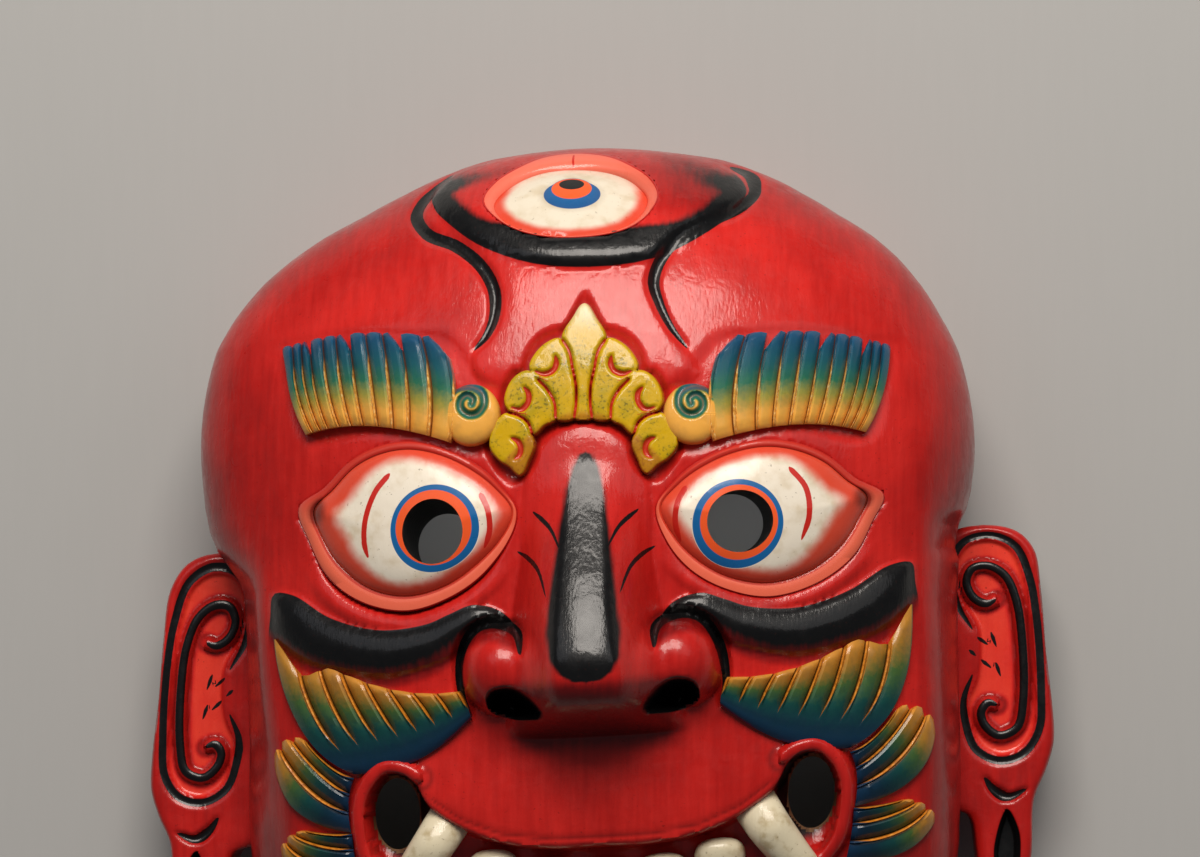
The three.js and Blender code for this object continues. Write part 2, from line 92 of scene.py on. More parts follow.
def ease(value: Values, start: float, end: float) -> Values:
    """Rises smoothly from 0 at start to 1 at end."""
    t = np.clip((value - start) / (end - start), 0.0, 1.0)
    return t * t * (3.0 - 2.0 * t)


def between(a: Values | float, b: Values | float, share: Values | float) -> Values:
    """The value at a share of the way from a to b."""
    return a + (b - a) * share


def swell(inside: Values, reach: float, rise: float) -> Values:
    """A rounded swelling.

    Args:
        inside: Distance in from the edge, in mm.
        reach: How far in the swelling reaches its full height.
        rise: That height.

    Returns:
        The height at each place.
    """
    fall = 1.0 - np.clip(inside / reach, 0.0, 1.0)
    return rise * np.sqrt(np.clip(1.0 - fall * fall, 0.0, 1.0))


def set_on(ground: Values, *reliefs: Values) -> Values:
    """Sets raised forms on ground that keeps its own hollows."""
    return merged(np.clip(ground, 0.0, None), *reliefs) + np.clip(ground, None, 0.0)


def merged(*reliefs: Values, power: float = 3.0) -> Values:
    """Raised forms that run into each other smoothly, the softer the lower the power."""
    return sum(np.clip(relief, 0.0, None) ** power for relief in reliefs) ** (1.0 / power)


def step_in(places: Places, y: Values) -> Values:
    """Reads a table of heights, listed from the bottom up, and their values."""
    heights, values = np.array(places, float).T
    return np.interp(y, heights, values)


@dataclass(frozen=True)
class Head:
    """The bare head, in millimetres: the sizes of the CAD part."""

    half_width: float = 143.0
    crown_rise: float = 121.0
    jaw_drop: float = 230.0
    widest: float = 54.5
    side_depth: float = 48.0
    face_depth: float = 125.0
    wall: float = 18.0
    jaw_round: float = 2.6
    jaw_square: float = 4.0
    height: float = 351.0
    edge_from: float = 0.82
    lean: float = 0.055
    drift: float = 4.5
    wide: tuple[Pair, ...] = (
        (-110, 0), (-85, -5), (-40, -9), (0, -10), (20, -9), (36, -1.5), (44, 0.3), (54, 1.4), (80, 3.7),
        (90, 4.8), (100, 6.1), (124, 6.3), (134, 5.5), (142, 4.1), (150, 1.2), (158, 0.8), (166, 2.8),
        (171, 5), (176, 0),
    )
    shift: tuple[Pair, ...] = (
        (-110, 0), (-90, 1.8), (15, 1), (30, -4.1), (100, -4.4), (112, -4), (126, -2.6), (134, -1.2),
        (148, 1), (162, 2.4),
    )

    def share(self, x: Values, y: Values, inset: float = 0.0) -> Values:
        """0 in the middle of the face and 1 on its outline.

        Args:
            x: Places across the drawing.
            y: Places up the drawing.
            inset: How far in from the head's edge the outline is drawn.

        Returns:
            The share of the way out to the outline.
        """
        up = y - self.widest
        across = np.abs(x) / (self.half_width - inset)
        rise = np.hypot(across, up / (self.crown_rise - inset))
        down = np.clip(-up, 0.0, None) / (self.jaw_drop - inset)
        turn = across / np.maximum(across + down, 1e-9)
        power = between(self.jaw_round, self.jaw_square, ease(turn, 0.35, 0.65))
        drop = (np.maximum(across, 1e-9) ** power + np.maximum(down, 1e-9) ** power) ** (1.0 / power)
        return np.where(up >= 0.0, rise, drop)

    def skin(self, x: Values, y: Values, inset: float = 0.0) -> Values:
        """The bare head's height over the rim at each place."""
        share = np.minimum(1.0, self.share(x, y, inset))
        return self.side_depth + (self.face_depth - inset - self.side_depth) * np.sqrt(1.0 - share * share)

    def lay(self, x: Values, y: Values) -> tuple[Values, Values]:
        """From the even drawing to the real mask, with the lean of hand carving.

        Args:
            x, y: Places across and up.

        Returns:
            The places across and up on the real mask.
        """
        slope = self.lean * ease(y, 75.0, 0.0)
        drift = self.drift * ease(y, 10.0, -60.0) * ease(np.abs(x), 138.0, 118.0)
        return x + drift, y + slope * x

    def outlined(self, x: Values, y: Values) -> Values:
        """Brings the head's edge from the drawing's oval to the real outline.

        Args:
            x, y: Places across and up.

        Returns:
            The places across, on the real outline.
        """
        near = ease(self.share(x, y), self.edge_from, 1.0)
        outward = np.clip(x / 40.0, -1.0, 1.0)
        return x + near * (np.abs(outward) * step_in(self.shift, y) + outward * step_in(self.wide, y))


HEAD = Head()
METRES = (CAD_BOX[1].y - CAD_BOX[0].y) / HEAD.height


@dataclass
class Line:
    """A smooth line through places on the drawing, open or closed."""

    points: Places
    closed: bool = False
    steps: int = 8
    path: Values = field(init=False, repr=False)

    def __post_init__(self) -> None:
        """Rounds the line off between its places."""
        p = np.array(self.points, float)
        if self.closed:
            p = np.vstack([p[-1], p, p[0], p[1]])
        else:
            p = np.vstack([2.0 * p[0] - p[1], p, 2.0 * p[-1] - p[-2]])
        spans = []
        for i in range(1, len(p) - 2):
            p0, p1, p2, p3 = p[i - 1 : i + 3]
            t1 = np.sqrt(np.linalg.norm(p1 - p0))
            t2 = t1 + np.sqrt(np.linalg.norm(p2 - p1))
            t3 = t2 + np.sqrt(np.linalg.norm(p3 - p2))
            t = np.linspace(t1, t2, self.steps, endpoint=False)[:, None]
            a1 = (t1 - t) / t1 * p0 + t / t1 * p1
            a2 = (t2 - t) / (t2 - t1) * p1 + (t - t1) / (t2 - t1) * p2
            a3 = (t3 - t) / (t3 - t2) * p2 + (t - t2) / (t3 - t2) * p3
            b1 = (t2 - t) / t2 * a1 + t / t2 * a2
            b2 = (t3 - t) / (t3 - t1) * a2 + (t - t1) / (t3 - t1) * a3
            spans.append((t2 - t) / (t2 - t1) * b1 + (t - t1) / (t2 - t1) * b2)
        self.path = np.vstack([*spans, p[-2]])

    def near(self, x: Values, y: Values, limit: float) -> tuple[Values, Values, Values]:
        """Measures places from the line.

        Args:
            x, y: Places across and up.
            limit: The distance past which nothing is measured.

        Returns:
            The distance, at most limit; which side of the line, 1 or -1; and the share along it,
            -1 or 2 past its ends.
        """
        distance = np.full(x.shape, float(limit))
        side = np.ones(x.shape)
        along = np.zeros(x.shape)
        low, high = self.path.min(axis=0) - limit, self.path.max(axis=0) + limit
        close = (x > low[0]) & (x < high[0]) & (y > low[1]) & (y < high[1])
        px, py = x[close], y[close]
        best = np.full(px.shape, float(limit) ** 2)
        best_side, best_along = np.ones(px.shape), np.zeros(px.shape)
        last = len(self.path) - 2
        for i, (start, end) in enumerate(zip(self.path[:-1], self.path[1:])):
            dx, dy = end - start
            raw = ((px - start[0]) * dx + (py - start[1]) * dy) / max(dx * dx + dy * dy, 1e-12)
            t = np.clip(raw, 0.0, 1.0)
            ex, ey = px - start[0] - t * dx, py - start[1] - t * dy
            gap = ex * ex + ey * ey
            closer = gap < best
            best = np.where(closer, gap, best)
            best_side = np.where(closer, np.where(dx * ey - dy * ex >= 0.0, 1.0, -1.0), best_side)
            share = (i + t) / (last + 1)
            if not self.closed and i == 0:
                share = np.where(raw < 0.0, -1.0, share)
            if not self.closed and i == last:
                share = np.where(raw > 1.0, 2.0, share)
            best_along = np.where(closer, share, best_along)
        distance[close], side[close], along[close] = np.sqrt(best), best_side, best_along
        return distance, side, along

    def inside(self, x: Values, y: Values, limit: float) -> Values:
        """Distance in from a closed line's edge, less than 0 outside it, at most limit either way.

        Args:
            x, y: Places across and up.
            limit: The distance past which nothing is measured.

        Returns:
            The distances.
        """
        distance = self.near(x, y, limit)[0]
        within = np.zeros(x.shape, bool)
        for (ax, ay), (bx, by) in zip(self.path[:-1], self.path[1:]):
            if ay == by:
                continue
            crosses = ((ay > y) != (by > y)) & (x < (bx - ax) * (y - ay) / (by - ay) + ax)
            within ^= crosses
        return np.where(within, distance, -distance)

    def reach(self, centre: Pair, angle: Values) -> Values:
        """How far out from a centre a closed line lies at each angle.

        Args:
            centre: Where the angles are measured.
            angle: The angles, in radians.

        Returns:
            The distances.
        """
        rim = self.path[:-1] - np.array(centre)
        turn = np.arctan2(rim[:, 1], rim[:, 0])
        order = np.argsort(turn)
        return np.interp(angle, turn[order], np.hypot(rim[:, 0], rim[:, 1])[order], period=2.0 * math.pi)


def oval_reach(
    origin: Pair, centre: Pair, reach: Pair, angle: Values
) -> Values:
    """How far out from an origin an oval lies at each angle.

    Args:
        origin: Where the angles are measured.
        centre: The oval's middle.
        reach: Its half-width and half-height.
        angle: The angles, in radians.

    Returns:
        The distances.
    """
    turn = np.linspace(-math.pi, math.pi, 61)[:-1]
    oval = [(centre[0] + reach[0] * math.cos(t), centre[1] + reach[1] * math.sin(t)) for t in turn]
    return Line(oval, closed=True, steps=4).reach(origin, angle)


@dataclass(frozen=True)
class Stroke:
    """A stroke of a pointed brush: a line, its half-width and how its ends taper."""

    line: Line
    half: float
    start: float = 0.12
    end: float = 0.12

    def width(self, along: Values) -> Values:
        """Half of the stroke's width along its line, 0 past its ends.

        Args:
            along: The share along the line.

        Returns:
            The half-width at each place.
        """
        t = np.clip(along, 0.0, 1.0)
        taper = np.clip(np.minimum(t / self.start, (1.0 - t) / self.end), 0.0, 1.0) ** 0.5
        return self.half * taper


def stroke_marks(
    strokes: Sequence[Stroke], x: Values, y: Values, spare: float = 1.8
) -> tuple[Values, Values]:
    """Marks brush strokes so that they stay sharp on any mesh.

    Args:
        strokes: The strokes.
        x, y: Places across and up.
        spare: How far past its edge a stroke is still measured, more than a cell of the mesh.

    Returns:
        The distance from the nearest stroke's middle, with a sign for its side, and the stroke's
        half-width there, below 0 away from it.
    """
    signed = np.full(x.shape, MARK_REACH_MM)
    half = np.full(x.shape, -MARK_REACH_MM)
    for stroke in strokes:
        distance, side, along = stroke.line.near(x, y, MARK_REACH_MM)
        past = np.clip(distance - stroke.half - spare, 0.0, None)
        width = stroke.width(along) - MARK_FALL * past
        width = np.where((along < 0.0) | (along > 1.0), -distance, width)
        better = width - distance > half - np.abs(signed)
        signed = np.where(better, side * distance, signed)
        half = np.where(better, width, half)
    return signed, half


def groove(stroke: Stroke, x: Values, y: Values, depth: float, spare: float = 0.8) -> Values:
    """How deep a gouge along a stroke cuts at each place.

    Args:
        stroke: The stroke that it follows.
        x, y: Places across and up.
        depth: The depth along its middle.
        spare: How much wider than the stroke it is to each side.

    Returns:
        The depths.
    """
    distance, _, along = stroke.line.near(x, y, stroke.half + spare + 1.0)
    width = np.maximum(stroke.width(along), 0.05) + spare
    section = np.clip(1.0 - (distance / width) ** 2, 0.0, None)
    return depth * section * np.clip(width / (stroke.half + spare), 0.0, 1.0)


def both_halves(right: Places) -> list[Pair]:
    """A line drawn for the viewer's right from middle to middle, carried on round the left."""
    return [*right, *((-x, y) for x, y in reversed(right[1:-1]))]


def mirrored(points: Places, side: Side) -> list[Pair]:
    """Places drawn for the viewer's right, on the side asked for."""
    return [(side.value * x, y) for x, y in points]


@dataclass(frozen=True)
class Sheet:
    """A sheet through three rows of three places: root, middle and tip, from the nose outwards."""

    rows: tuple[Places, Places, Places]

    def at(self, u: Values, v: Values) -> tuple[Values, Values]:
        """The places at shares u along the rows and v from root to tip.

        Args:
            u: The shares along the rows.
            v: The shares from root to tip.

        Returns:
            The places across and up.
        """
        grid = np.array(self.rows, float)
        across = np.stack([2.0 * (u - 0.5) * (u - 1.0), -4.0 * u * (u - 1.0), 2.0 * u * (u - 0.5)])
        along = np.stack([2.0 * (v - 0.5) * (v - 1.0), -4.0 * v * (v - 1.0), 2.0 * v * (v - 0.5)])
        place = np.einsum("rn,cn,rcd->dn", along, across, grid)
        return place[0], place[1]


class Blank:
    """A primitive carved into a piece, in the drawing's millimetres, and then laid on the mask."""

    def __init__(self, name: str, columns: int, rows: int, slab: bool = True, ring: bool = False) -> None:
        """Adds the primitive.

        Args:
            name: The piece's name.
            columns: Cells along u.
            rows: Cells along v.
            slab: Whether the grid is thickened to a closed slab.
            ring: Whether u runs round, so that its two ends are welded.
        """
        bpy.ops.object.select_all(action="DESELECT")
        bpy.ops.mesh.primitive_grid_add(x_subdivisions=columns, y_subdivisions=rows, size=1.0)
        self.object = bpy.context.object
        self.object.name = name
        self.object.data.name = name
        if slab:
            rise = {"value": (0.0, 0.0, 1.0)}
            self._edit(lambda: bpy.ops.mesh.extrude_region_move(TRANSFORM_OT_translate=rise))
        places = self.places()
        self.u, self.v = places[:, 0] + 0.5, places[:, 1] + 0.5
        self.top = places[:, 2] > (0.5 if slab else -0.5)
        if slab and ring:
            self._open_ends()

    def _edit(self, work: Callable[[], object]) -> None:
        """Does one piece of work on the whole mesh in edit mode.

        Args:
            work: The work.
        """
        bpy.ops.object.mode_set(mode="EDIT")
        bpy.ops.mesh.select_all(action="SELECT")
        work()
        bpy.ops.object.mode_set(mode="OBJECT")

    def _open_ends(self) -> None:
        """Takes off the slab's two end walls, where it closes on itself."""
        mesh = self.object.data
        bpy.ops.object.mode_set(mode="EDIT")
        bpy.context.tool_settings.mesh_select_mode = (False, False, True)
        bpy.ops.mesh.select_all(action="DESELECT")
        bpy.ops.object.mode_set(mode="OBJECT")
        for face in mesh.polygons:
            across = self.u[list(face.vertices)]
            face.select = bool(np.all(across < 1e-4) or np.all(across > 1.0 - 1e-4))
        bpy.ops.object.mode_set(mode="EDIT")
        bpy.ops.mesh.delete(type="ONLY_FACE")
        bpy.context.tool_settings.mesh_select_mode = (True, False, False)
        bpy.ops.object.mode_set(mode="OBJECT")

    def places(self) -> Values:
        """The places of all of the mesh's points.

        Returns:
            A row of x, y and z for each point.
        """
        mesh = self.object.data
        flat = np.empty(len(mesh.vertices) * 3, np.float32)
        mesh.vertices.foreach_get("co", flat)
        return flat.reshape(-1, 3).astype(float)

    def carve(self, x: Values, y: Values, z: Values) -> None:
        """Moves each point of the mesh to its place.

        Args:
            x, y: Places across and up.
            z: Places outwards.
        """
        flat = np.stack([x, y, z], axis=1).astype(np.float32).ravel()
        self.object.data.vertices.foreach_set("co", flat)
        self.object.data.update()

    def mark(self, **marks: Values) -> None:
        """Keeps values at the mesh's points for the paint to follow.

        Args:
            marks: The values, by the name that the paint reads.
        """
        for name, values in marks.items():
            layer = self.object.data.attributes.new(name, "FLOAT", "POINT")
            layer.data.foreach_set("value", np.asarray(values, np.float32))

    def weld(self) -> None:
        """Joins points that meet and turns every face outwards."""
        self._edit(self._weld_all)

    @staticmethod
    def _weld_all() -> None:
        """The work of weld, in edit mode."""
        bpy.ops.mesh.remove_doubles(threshold=WELD_MM)
        bpy.ops.mesh.select_all(action="SELECT")
        bpy.ops.mesh.normals_make_consistent(inside=False)

    def finish(self, *finishes: Material, sharp: float = 50.0, on_head: bool = True) -> None:
        """Lays the piece on the mask, in metres, paints it and fixes it to the frame.

        Args:
            finishes: The materials, in the order of the faces' indexes.
            sharp: The angle in degrees past which an edge looks sharp.
            on_head: Whether the piece follows the head's real outline.
        """
        place = self.places()
        across = HEAD.outlined(place[:, 0], place[:, 1]) if on_head else place[:, 0]
        x, y = HEAD.lay(across, place[:, 1])
        self.carve(x * METRES, y * METRES, place[:, 2] * METRES)
        for finish in finishes:
            self.object.data.materials.append(finish)
        bpy.ops.object.select_all(action="DESELECT")
        self.object.select_set(True)
        bpy.context.view_layer.objects.active = self.object
        bpy.ops.object.shade_smooth_by_angle(angle=math.radians(sharp))
        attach(self.object, "root")
        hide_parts("mask")
        LOG.info("%s: %d faces", self.object.name, len(self.object.data.polygons))


def linear(colour: str) -> tuple[float, float, float, float]:
    """An sRGB hex colour as the linear values that a shader takes.

    Args:
        colour: The colour, with its leading hash.

    Returns:
        Red, green, blue and a full alpha.
    """
    parts = [int(colour[i : i + 2], 16) / 255.0 for i in (1, 3, 5)]
    red, green, blue = (c / 12.92 if c <= 0.04045 else ((c + 0.055) / 1.055) ** 2.4 for c in parts)
    return red, green, blue, 1.0


def add_node(
    tree: Tree,
    kind: str,
    settings: dict[str, object] | None = None,
    inputs: dict[str | int, object] | None = None,
    stops: Sequence[tuple[float, str]] = (),
) -> bpy.types.Node:
    """Adds a node with its settings and links.

    Args:
        tree: The material's nodes.
        kind: The node's type, without its ShaderNode start.
        settings: Its properties.
        inputs: Its sockets' values, or the sockets they are linked from.
        stops: A colour ramp's places and sRGB hex colours.

    Returns:
        The node.
    """
    node = tree.nodes.new(f"ShaderNode{kind}")
    for key, value in (settings or {}).items():
        setattr(node, key, value)
    for key, value in (inputs or {}).items():
        if isinstance(value, Socket):
            tree.links.new(value, node.inputs[key])
        else:
            node.inputs[key].default_value = value
    if stops:
        ramp = node.color_ramp
        while len(ramp.elements) < len(stops):
            ramp.elements.new(0.5)
        for element, (place, colour) in zip(ramp.elements, stops):
            element.position = place
            element.color = linear(colour)
    return node


@dataclass(frozen=True)
class Grain:
    """An uneven pattern in a finish, by the real size of its marks."""

    size_mm: float
    detail: float
    drawn_out: Triple = (1.0, 1.0, 1.0)
    swirl: float = 0.0

    def over(self, tree: Tree) -> Socket:
        """Lays the pattern over the object.

        Args:
            tree: The material's nodes.

        Returns:
            Its values, about 0.5 on average.
        """
        place = add_node(tree, "TexCoord").outputs["Object"]
        along = add_node(tree, "Mapping", inputs={"Vector": place, "Scale": self.drawn_out}).outputs[0]
        scale = 1000.0 / self.size_mm
        inputs = {"Vector": along, "Scale": scale, "Detail": self.detail, "Distortion": self.swirl}
        return add_node(tree, "TexNoise", inputs=inputs).outputs["Fac"]


@dataclass(frozen=True)
class Varnish:
    """Clear oil varnish brushed over all of the paint: it gives wet highlights, which its ripples,
    the hairs of the brush and the dents of the carving break up."""

    roughness: float = 0.34
    shinier: float = 0.07
    duller: float = 0.11
    coat: float = 0.45
    coat_roughness: float = 0.12
    specular: float = 0.2
    index: float = 1.5
    bump_mm: float = 0.1
    bump_strength: float = 0.8
    hairs: Grain = Grain(0.9, 4.0, (1.0, 0.22, 0.6))
    ripples: Grain = Grain(4.5, 3.0, swirl=0.6)
    ripple_share: float = 1.7
    dents: Grain = Grain(16.0, 2.0)
    dent_share: float = 3.0

    def over(self, tree: Tree, colour: Socket, uneven: float = 1.0) -> None:
        """Varnishes a colour and finishes the material.

        Args:
            tree: The material's nodes.
            colour: The painted colour.
            uneven: How much the brushwork stands up, 1 as on the face.
        """
        surface, ripples = self.hairs.over(tree), self.ripples.over(tree)
        for wave, share in ((ripples, self.ripple_share), (self.dents.over(tree), self.dent_share)):
            surface = add_node(
                tree, "Math", {"operation": "MULTIPLY_ADD"}, {0: wave, 1: share, 2: surface}
            ).outputs[0]
        bump_m = self.bump_mm * uneven * 0.001
        bump = add_node(
            tree, "Bump", inputs={"Height": surface, "Distance": bump_m, "Strength": self.bump_strength}
        )
        sheen = add_node(
            tree, "MapRange",
            inputs={
                "Value": ripples, "From Min": 0.3, "From Max": 0.7,
                "To Min": self.roughness - self.shinier, "To Max": self.roughness + self.duller,
            },
        )
        shader = add_node(
            tree, "BsdfPrincipled",
            inputs={
                "Base Color": colour, "Roughness": sheen.outputs["Result"], "Normal": bump.outputs["Normal"],
                "IOR": self.index, "Specular IOR Level": self.specular, "Coat Weight": self.coat,
                "Coat Roughness": self.coat_roughness, "Coat IOR": self.index,
                "Coat Normal": bump.outputs["Normal"],
            },
        )
        add_node(tree, "OutputMaterial", inputs={"Surface": shader.outputs[0]})


VARNISH = Varnish()
EDGE_GRAIN = Grain(1.1111, 2.0)


def paint_tree(name: str) -> tuple[Material, Tree]:
    """Starts a material.

    Args:
        name: Its name.

    Returns:
        The material and its nodes, still empty.
    """
    material = bpy.data.materials.new(name)
    material.use_nodes = True
    material.node_tree.nodes.clear()
    return material, material.node_tree


def coat_over(
    tree: Tree, under: Colour, colour: Colour, *masks: Mask, most: float = 1.0
) -> Socket:
    """Lays one colour over another where all of its masks say.

    Args:
        tree: The material's nodes.
        under: The colour below, a socket or a hex value.
        colour: The new colour, a socket or a hex value.
        masks: What the cover follows. Each is a socket or a mark's name, and runs from 0 to 1 or
            comes with the values at which a smooth edge starts and ends.
        most: The most that the new colour may cover.

    Returns:
        The painted colour.
    """
    cover: object = most
    for mask in masks:
        source, *edge = mask if isinstance(mask, tuple) else (mask,)
        if isinstance(source, str):
            source = add_node(tree, "Attribute", {"attribute_name": source}).outputs["Fac"]
        if edge:
            source = add_node(
                tree, "MapRange", {"interpolation_type": "SMOOTHSTEP"},
                {"Value": source, "From Min": edge[0], "From Max": edge[1]},
            ).outputs["Result"]
        cover = add_node(
            tree, "Math", {"operation": "MULTIPLY", "use_clamp": True}, {0: source, 1: cover}
        ).outputs[0]
    lower = linear(under) if isinstance(under, str) else under
    upper = linear(colour) if isinstance(colour, str) else colour
    return add_node(tree, "Mix", {"data_type": "RGBA"}, {0: cover, 6: lower, 7: upper}).outputs[2]


def stroke_edge(tree: Tree, ragged: float = 0.25) -> Mask:
    """Where a piece's brush strokes lie, with edges a little ragged, as a mask for coat_over.

    Args:
        tree: The material's nodes.
        ragged: How far the edges wander, in mm.

    Returns:
        The mask.
    """
    signed = add_node(tree, "Attribute", {"attribute_name": "stroke"}).outputs["Fac"]
    half = add_node(tree, "Attribute", {"attribute_name": "stroke_half"}).outputs["Fac"]
    off = add_node(tree, "Math", {"operation": "ABSOLUTE"}, {0: signed}).outputs[0]
    room = add_node(tree, "Math", {"operation": "SUBTRACT"}, {0: half, 1: off}).outputs[0]
    inputs = {0: EDGE_GRAIN.over(tree), 1: ragged, 2: room}
    shaky = add_node(tree, "Math", {"operation": "MULTIPLY_ADD"}, inputs)
    return shaky.outputs[0], 0.5 * ragged - STROKE_EDGE_MM, 0.5 * ragged + STROKE_EDGE_MM


@dataclass(frozen=True)
class RedLacquer:
    """Red gloss paint brushed on carved wood and varnished: warm and bright where it is lit, painted darker
    to wine red as painted shade where the shade mark says, with black painted bands and lines, dark soiled
    specks, and painted shade in the cuts and hollows."""

    bright: str = "#EA4430"
    light: str = "#D02620"
    middle: str = "#B01814"
    dark: str = "#6A080A"
    black: str = "#0C0C0D"
    rubbed_black: str = "#2E1512"
    # Dark red-brown for random soiled specks and for painted shade in the cuts and hollows.
    grime: str = "#3A0A0A"
    streaks: Grain = Grain(2.2, 5.0, (1.0, 0.1, 0.25))
    dry_brush: Grain = Grain(1.4, 5.0, (1.0, 0.1, 0.25))
    clouds: Grain = Grain(30.0, 4.0)
    specks: Grain = Grain(1.2, 3.0)
    tone: float = 0.14
    streak_share: float = 0.25
    cloud_share: float = 0.45
    shade_share: float = -0.35

    def make(self, name: str) -> Material:
        """Mixes the paint, which reads the marks of the face and the ears.

        Args:
            name: The material's name.

        Returns:
            The material.
        """
        material, tree = paint_tree(name)
        streaks, clouds, specks = self.streaks.over(tree), self.clouds.over(tree), self.specks.over(tree)
        shade = add_node(tree, "Attribute", {"attribute_name": "shade"}).outputs["Fac"]
        tone: object = self.tone
        shares = (self.streak_share, self.cloud_share, self.shade_share)
        for source, share in zip((streaks, clouds, shade), shares):
            tone = add_node(
                tree, "Math", {"operation": "MULTIPLY_ADD"}, {0: source, 1: share, 2: tone}
            ).outputs[0]
        red = add_node(
            tree, "ValToRGB", inputs={0: tone},
            stops=[(0.05, self.dark), (0.36, self.middle), (0.56, self.light), (0.9, self.bright)],
        ).outputs[0]
        red = coat_over(tree, red, self.grime, (specks, 0.66, 0.72), (clouds, 0.4, 0.6), most=0.4)
        # Painted shade in the cuts and hollows that the face and ears mark.
        red = coat_over(tree, red, self.grime, "grime", most=0.85)
        band_soft = add_node(tree, "Attribute", {"attribute_name": "band_soft"}).outputs["Fac"]
        soft = add_node(
            tree, "Math", {"operation": "MULTIPLY_ADD"}, {0: self.dry_brush.over(tree), 1: 0.5, 2: band_soft}
        ).outputs[0]
        lamp_black = coat_over(tree, self.black, self.rubbed_black, (specks, 0.62, 0.74), most=0.4)
        red = coat_over(tree, red, lamp_black, ("band_edge", -0.2, 0.2), (soft, 0.3, 1.1))
        red = coat_over(tree, red, lamp_black, stroke_edge(tree))
        VARNISH.over(tree, red)
        return material


@dataclass(frozen=True)
class HairPaint:
    """Blended oil paint on carved locks: one end blue, then teal and olive, the other end gold, put on
    in fine streaks, with brushed gold on each lock's bevel and a darker line of painted shade along each
    cut."""

    name: str
    ramp: tuple[tuple[float, str], ...]
    bevel: str = "#E8A548"
    bevel_light: str = "#FBDFA0"
    bevel_dark: str = "#A9601C"
    # The darker line of painted shade along each cut between the locks.
    crease: str = "#9A5418"
    shadow: str = "#0E2A3C"
    fine: Grain = Grain(1.6, 4.0)
    coarse: Grain = Grain(6.0, 2.0)
    blending: float = 0.12
    uneven: float = 0.8

    def make(self) -> Material:
        """Mixes the paint, which reads each lock's run, its place across and the painted shade along its
        cuts.

        Returns:
            The material.
        """
        material, tree = paint_tree(self.name)
        fine, coarse = self.fine.over(tree), self.coarse.over(tree)
        run = add_node(tree, "Attribute", {"attribute_name": "run"}).outputs["Fac"]
        run = add_node(
            tree, "Math", {"operation": "MULTIPLY_ADD"}, {0: fine, 1: self.blending, 2: run}
        ).outputs[0]
        run = add_node(
            tree, "Math", {"operation": "SUBTRACT", "use_clamp": True}, {0: run, 1: 0.5 * self.blending}
        ).outputs[0]
        colour = add_node(tree, "ValToRGB", inputs={0: run}, stops=self.ramp).outputs[0]
        colour = coat_over(tree, colour, self.shadow, (coarse, 0.45, 0.8), most=0.2)
        gold = coat_over(tree, self.bevel, self.bevel_light, (fine, 0.5, 0.68), most=0.7)
        gold = coat_over(tree, gold, self.bevel_dark, (fine, 0.46, 0.34), most=0.7)
        colour = coat_over(tree, colour, gold, ("bevel", -0.02, 0.03), most=0.95)
        # Painted shade along the cuts between the locks.
        colour = coat_over(tree, colour, self.crease, "crease", most=0.8)
        VARNISH.over(tree, colour, self.uneven)
        return material


@dataclass(frozen=True)
class CrownPaint:
    """Chrome-yellow oil paint over a dark ground: bright, rubbed to greenish black in specks, pale and
    pinkish where the tips are worn, orange-brown at the foot and along the edges."""

    yellow: str = "#C8A004"
    olive: str = "#A08C0C"
    pale: str = "#E6D9B8"
    edge: str = "#A8551A"
    speck: str = "#3E4416"
    cut: str = "#B83018"
    fine: Grain = Grain(1.1, 5.0)
    coarse: Grain = Grain(8.0, 3.0)
    uneven: float = 1.1

    def make(self, name: str) -> Material:
        """Mixes the paint, which reads how far in from a leaf's edge a place is, and the cuts.

        Args:
            name: The material's name.

        Returns:
            The material.
        """
        material, tree = paint_tree(name)
        fine, coarse = self.fine.over(tree), self.coarse.over(tree)
        colour = coat_over(tree, self.yellow, self.olive, (coarse, 0.4, 0.7), most=0.7)
        colour = coat_over(tree, colour, self.speck, (fine, 0.53, 0.66), (coarse, 0.3, 0.6), most=0.62)
        colour = coat_over(tree, colour, self.pale, "worn", most=0.6)
        colour = coat_over(tree, colour, self.edge, "foot", most=0.6)
        colour = coat_over(tree, colour, self.edge, ("leaf", 0.3, -0.15), most=0.6)
        colour = coat_over(tree, colour, self.cut, ("leaf", -0.35, -0.75))
        colour = coat_over(tree, colour, self.cut, stroke_edge(tree))
        VARNISH.over(tree, colour, self.uneven)
        return material


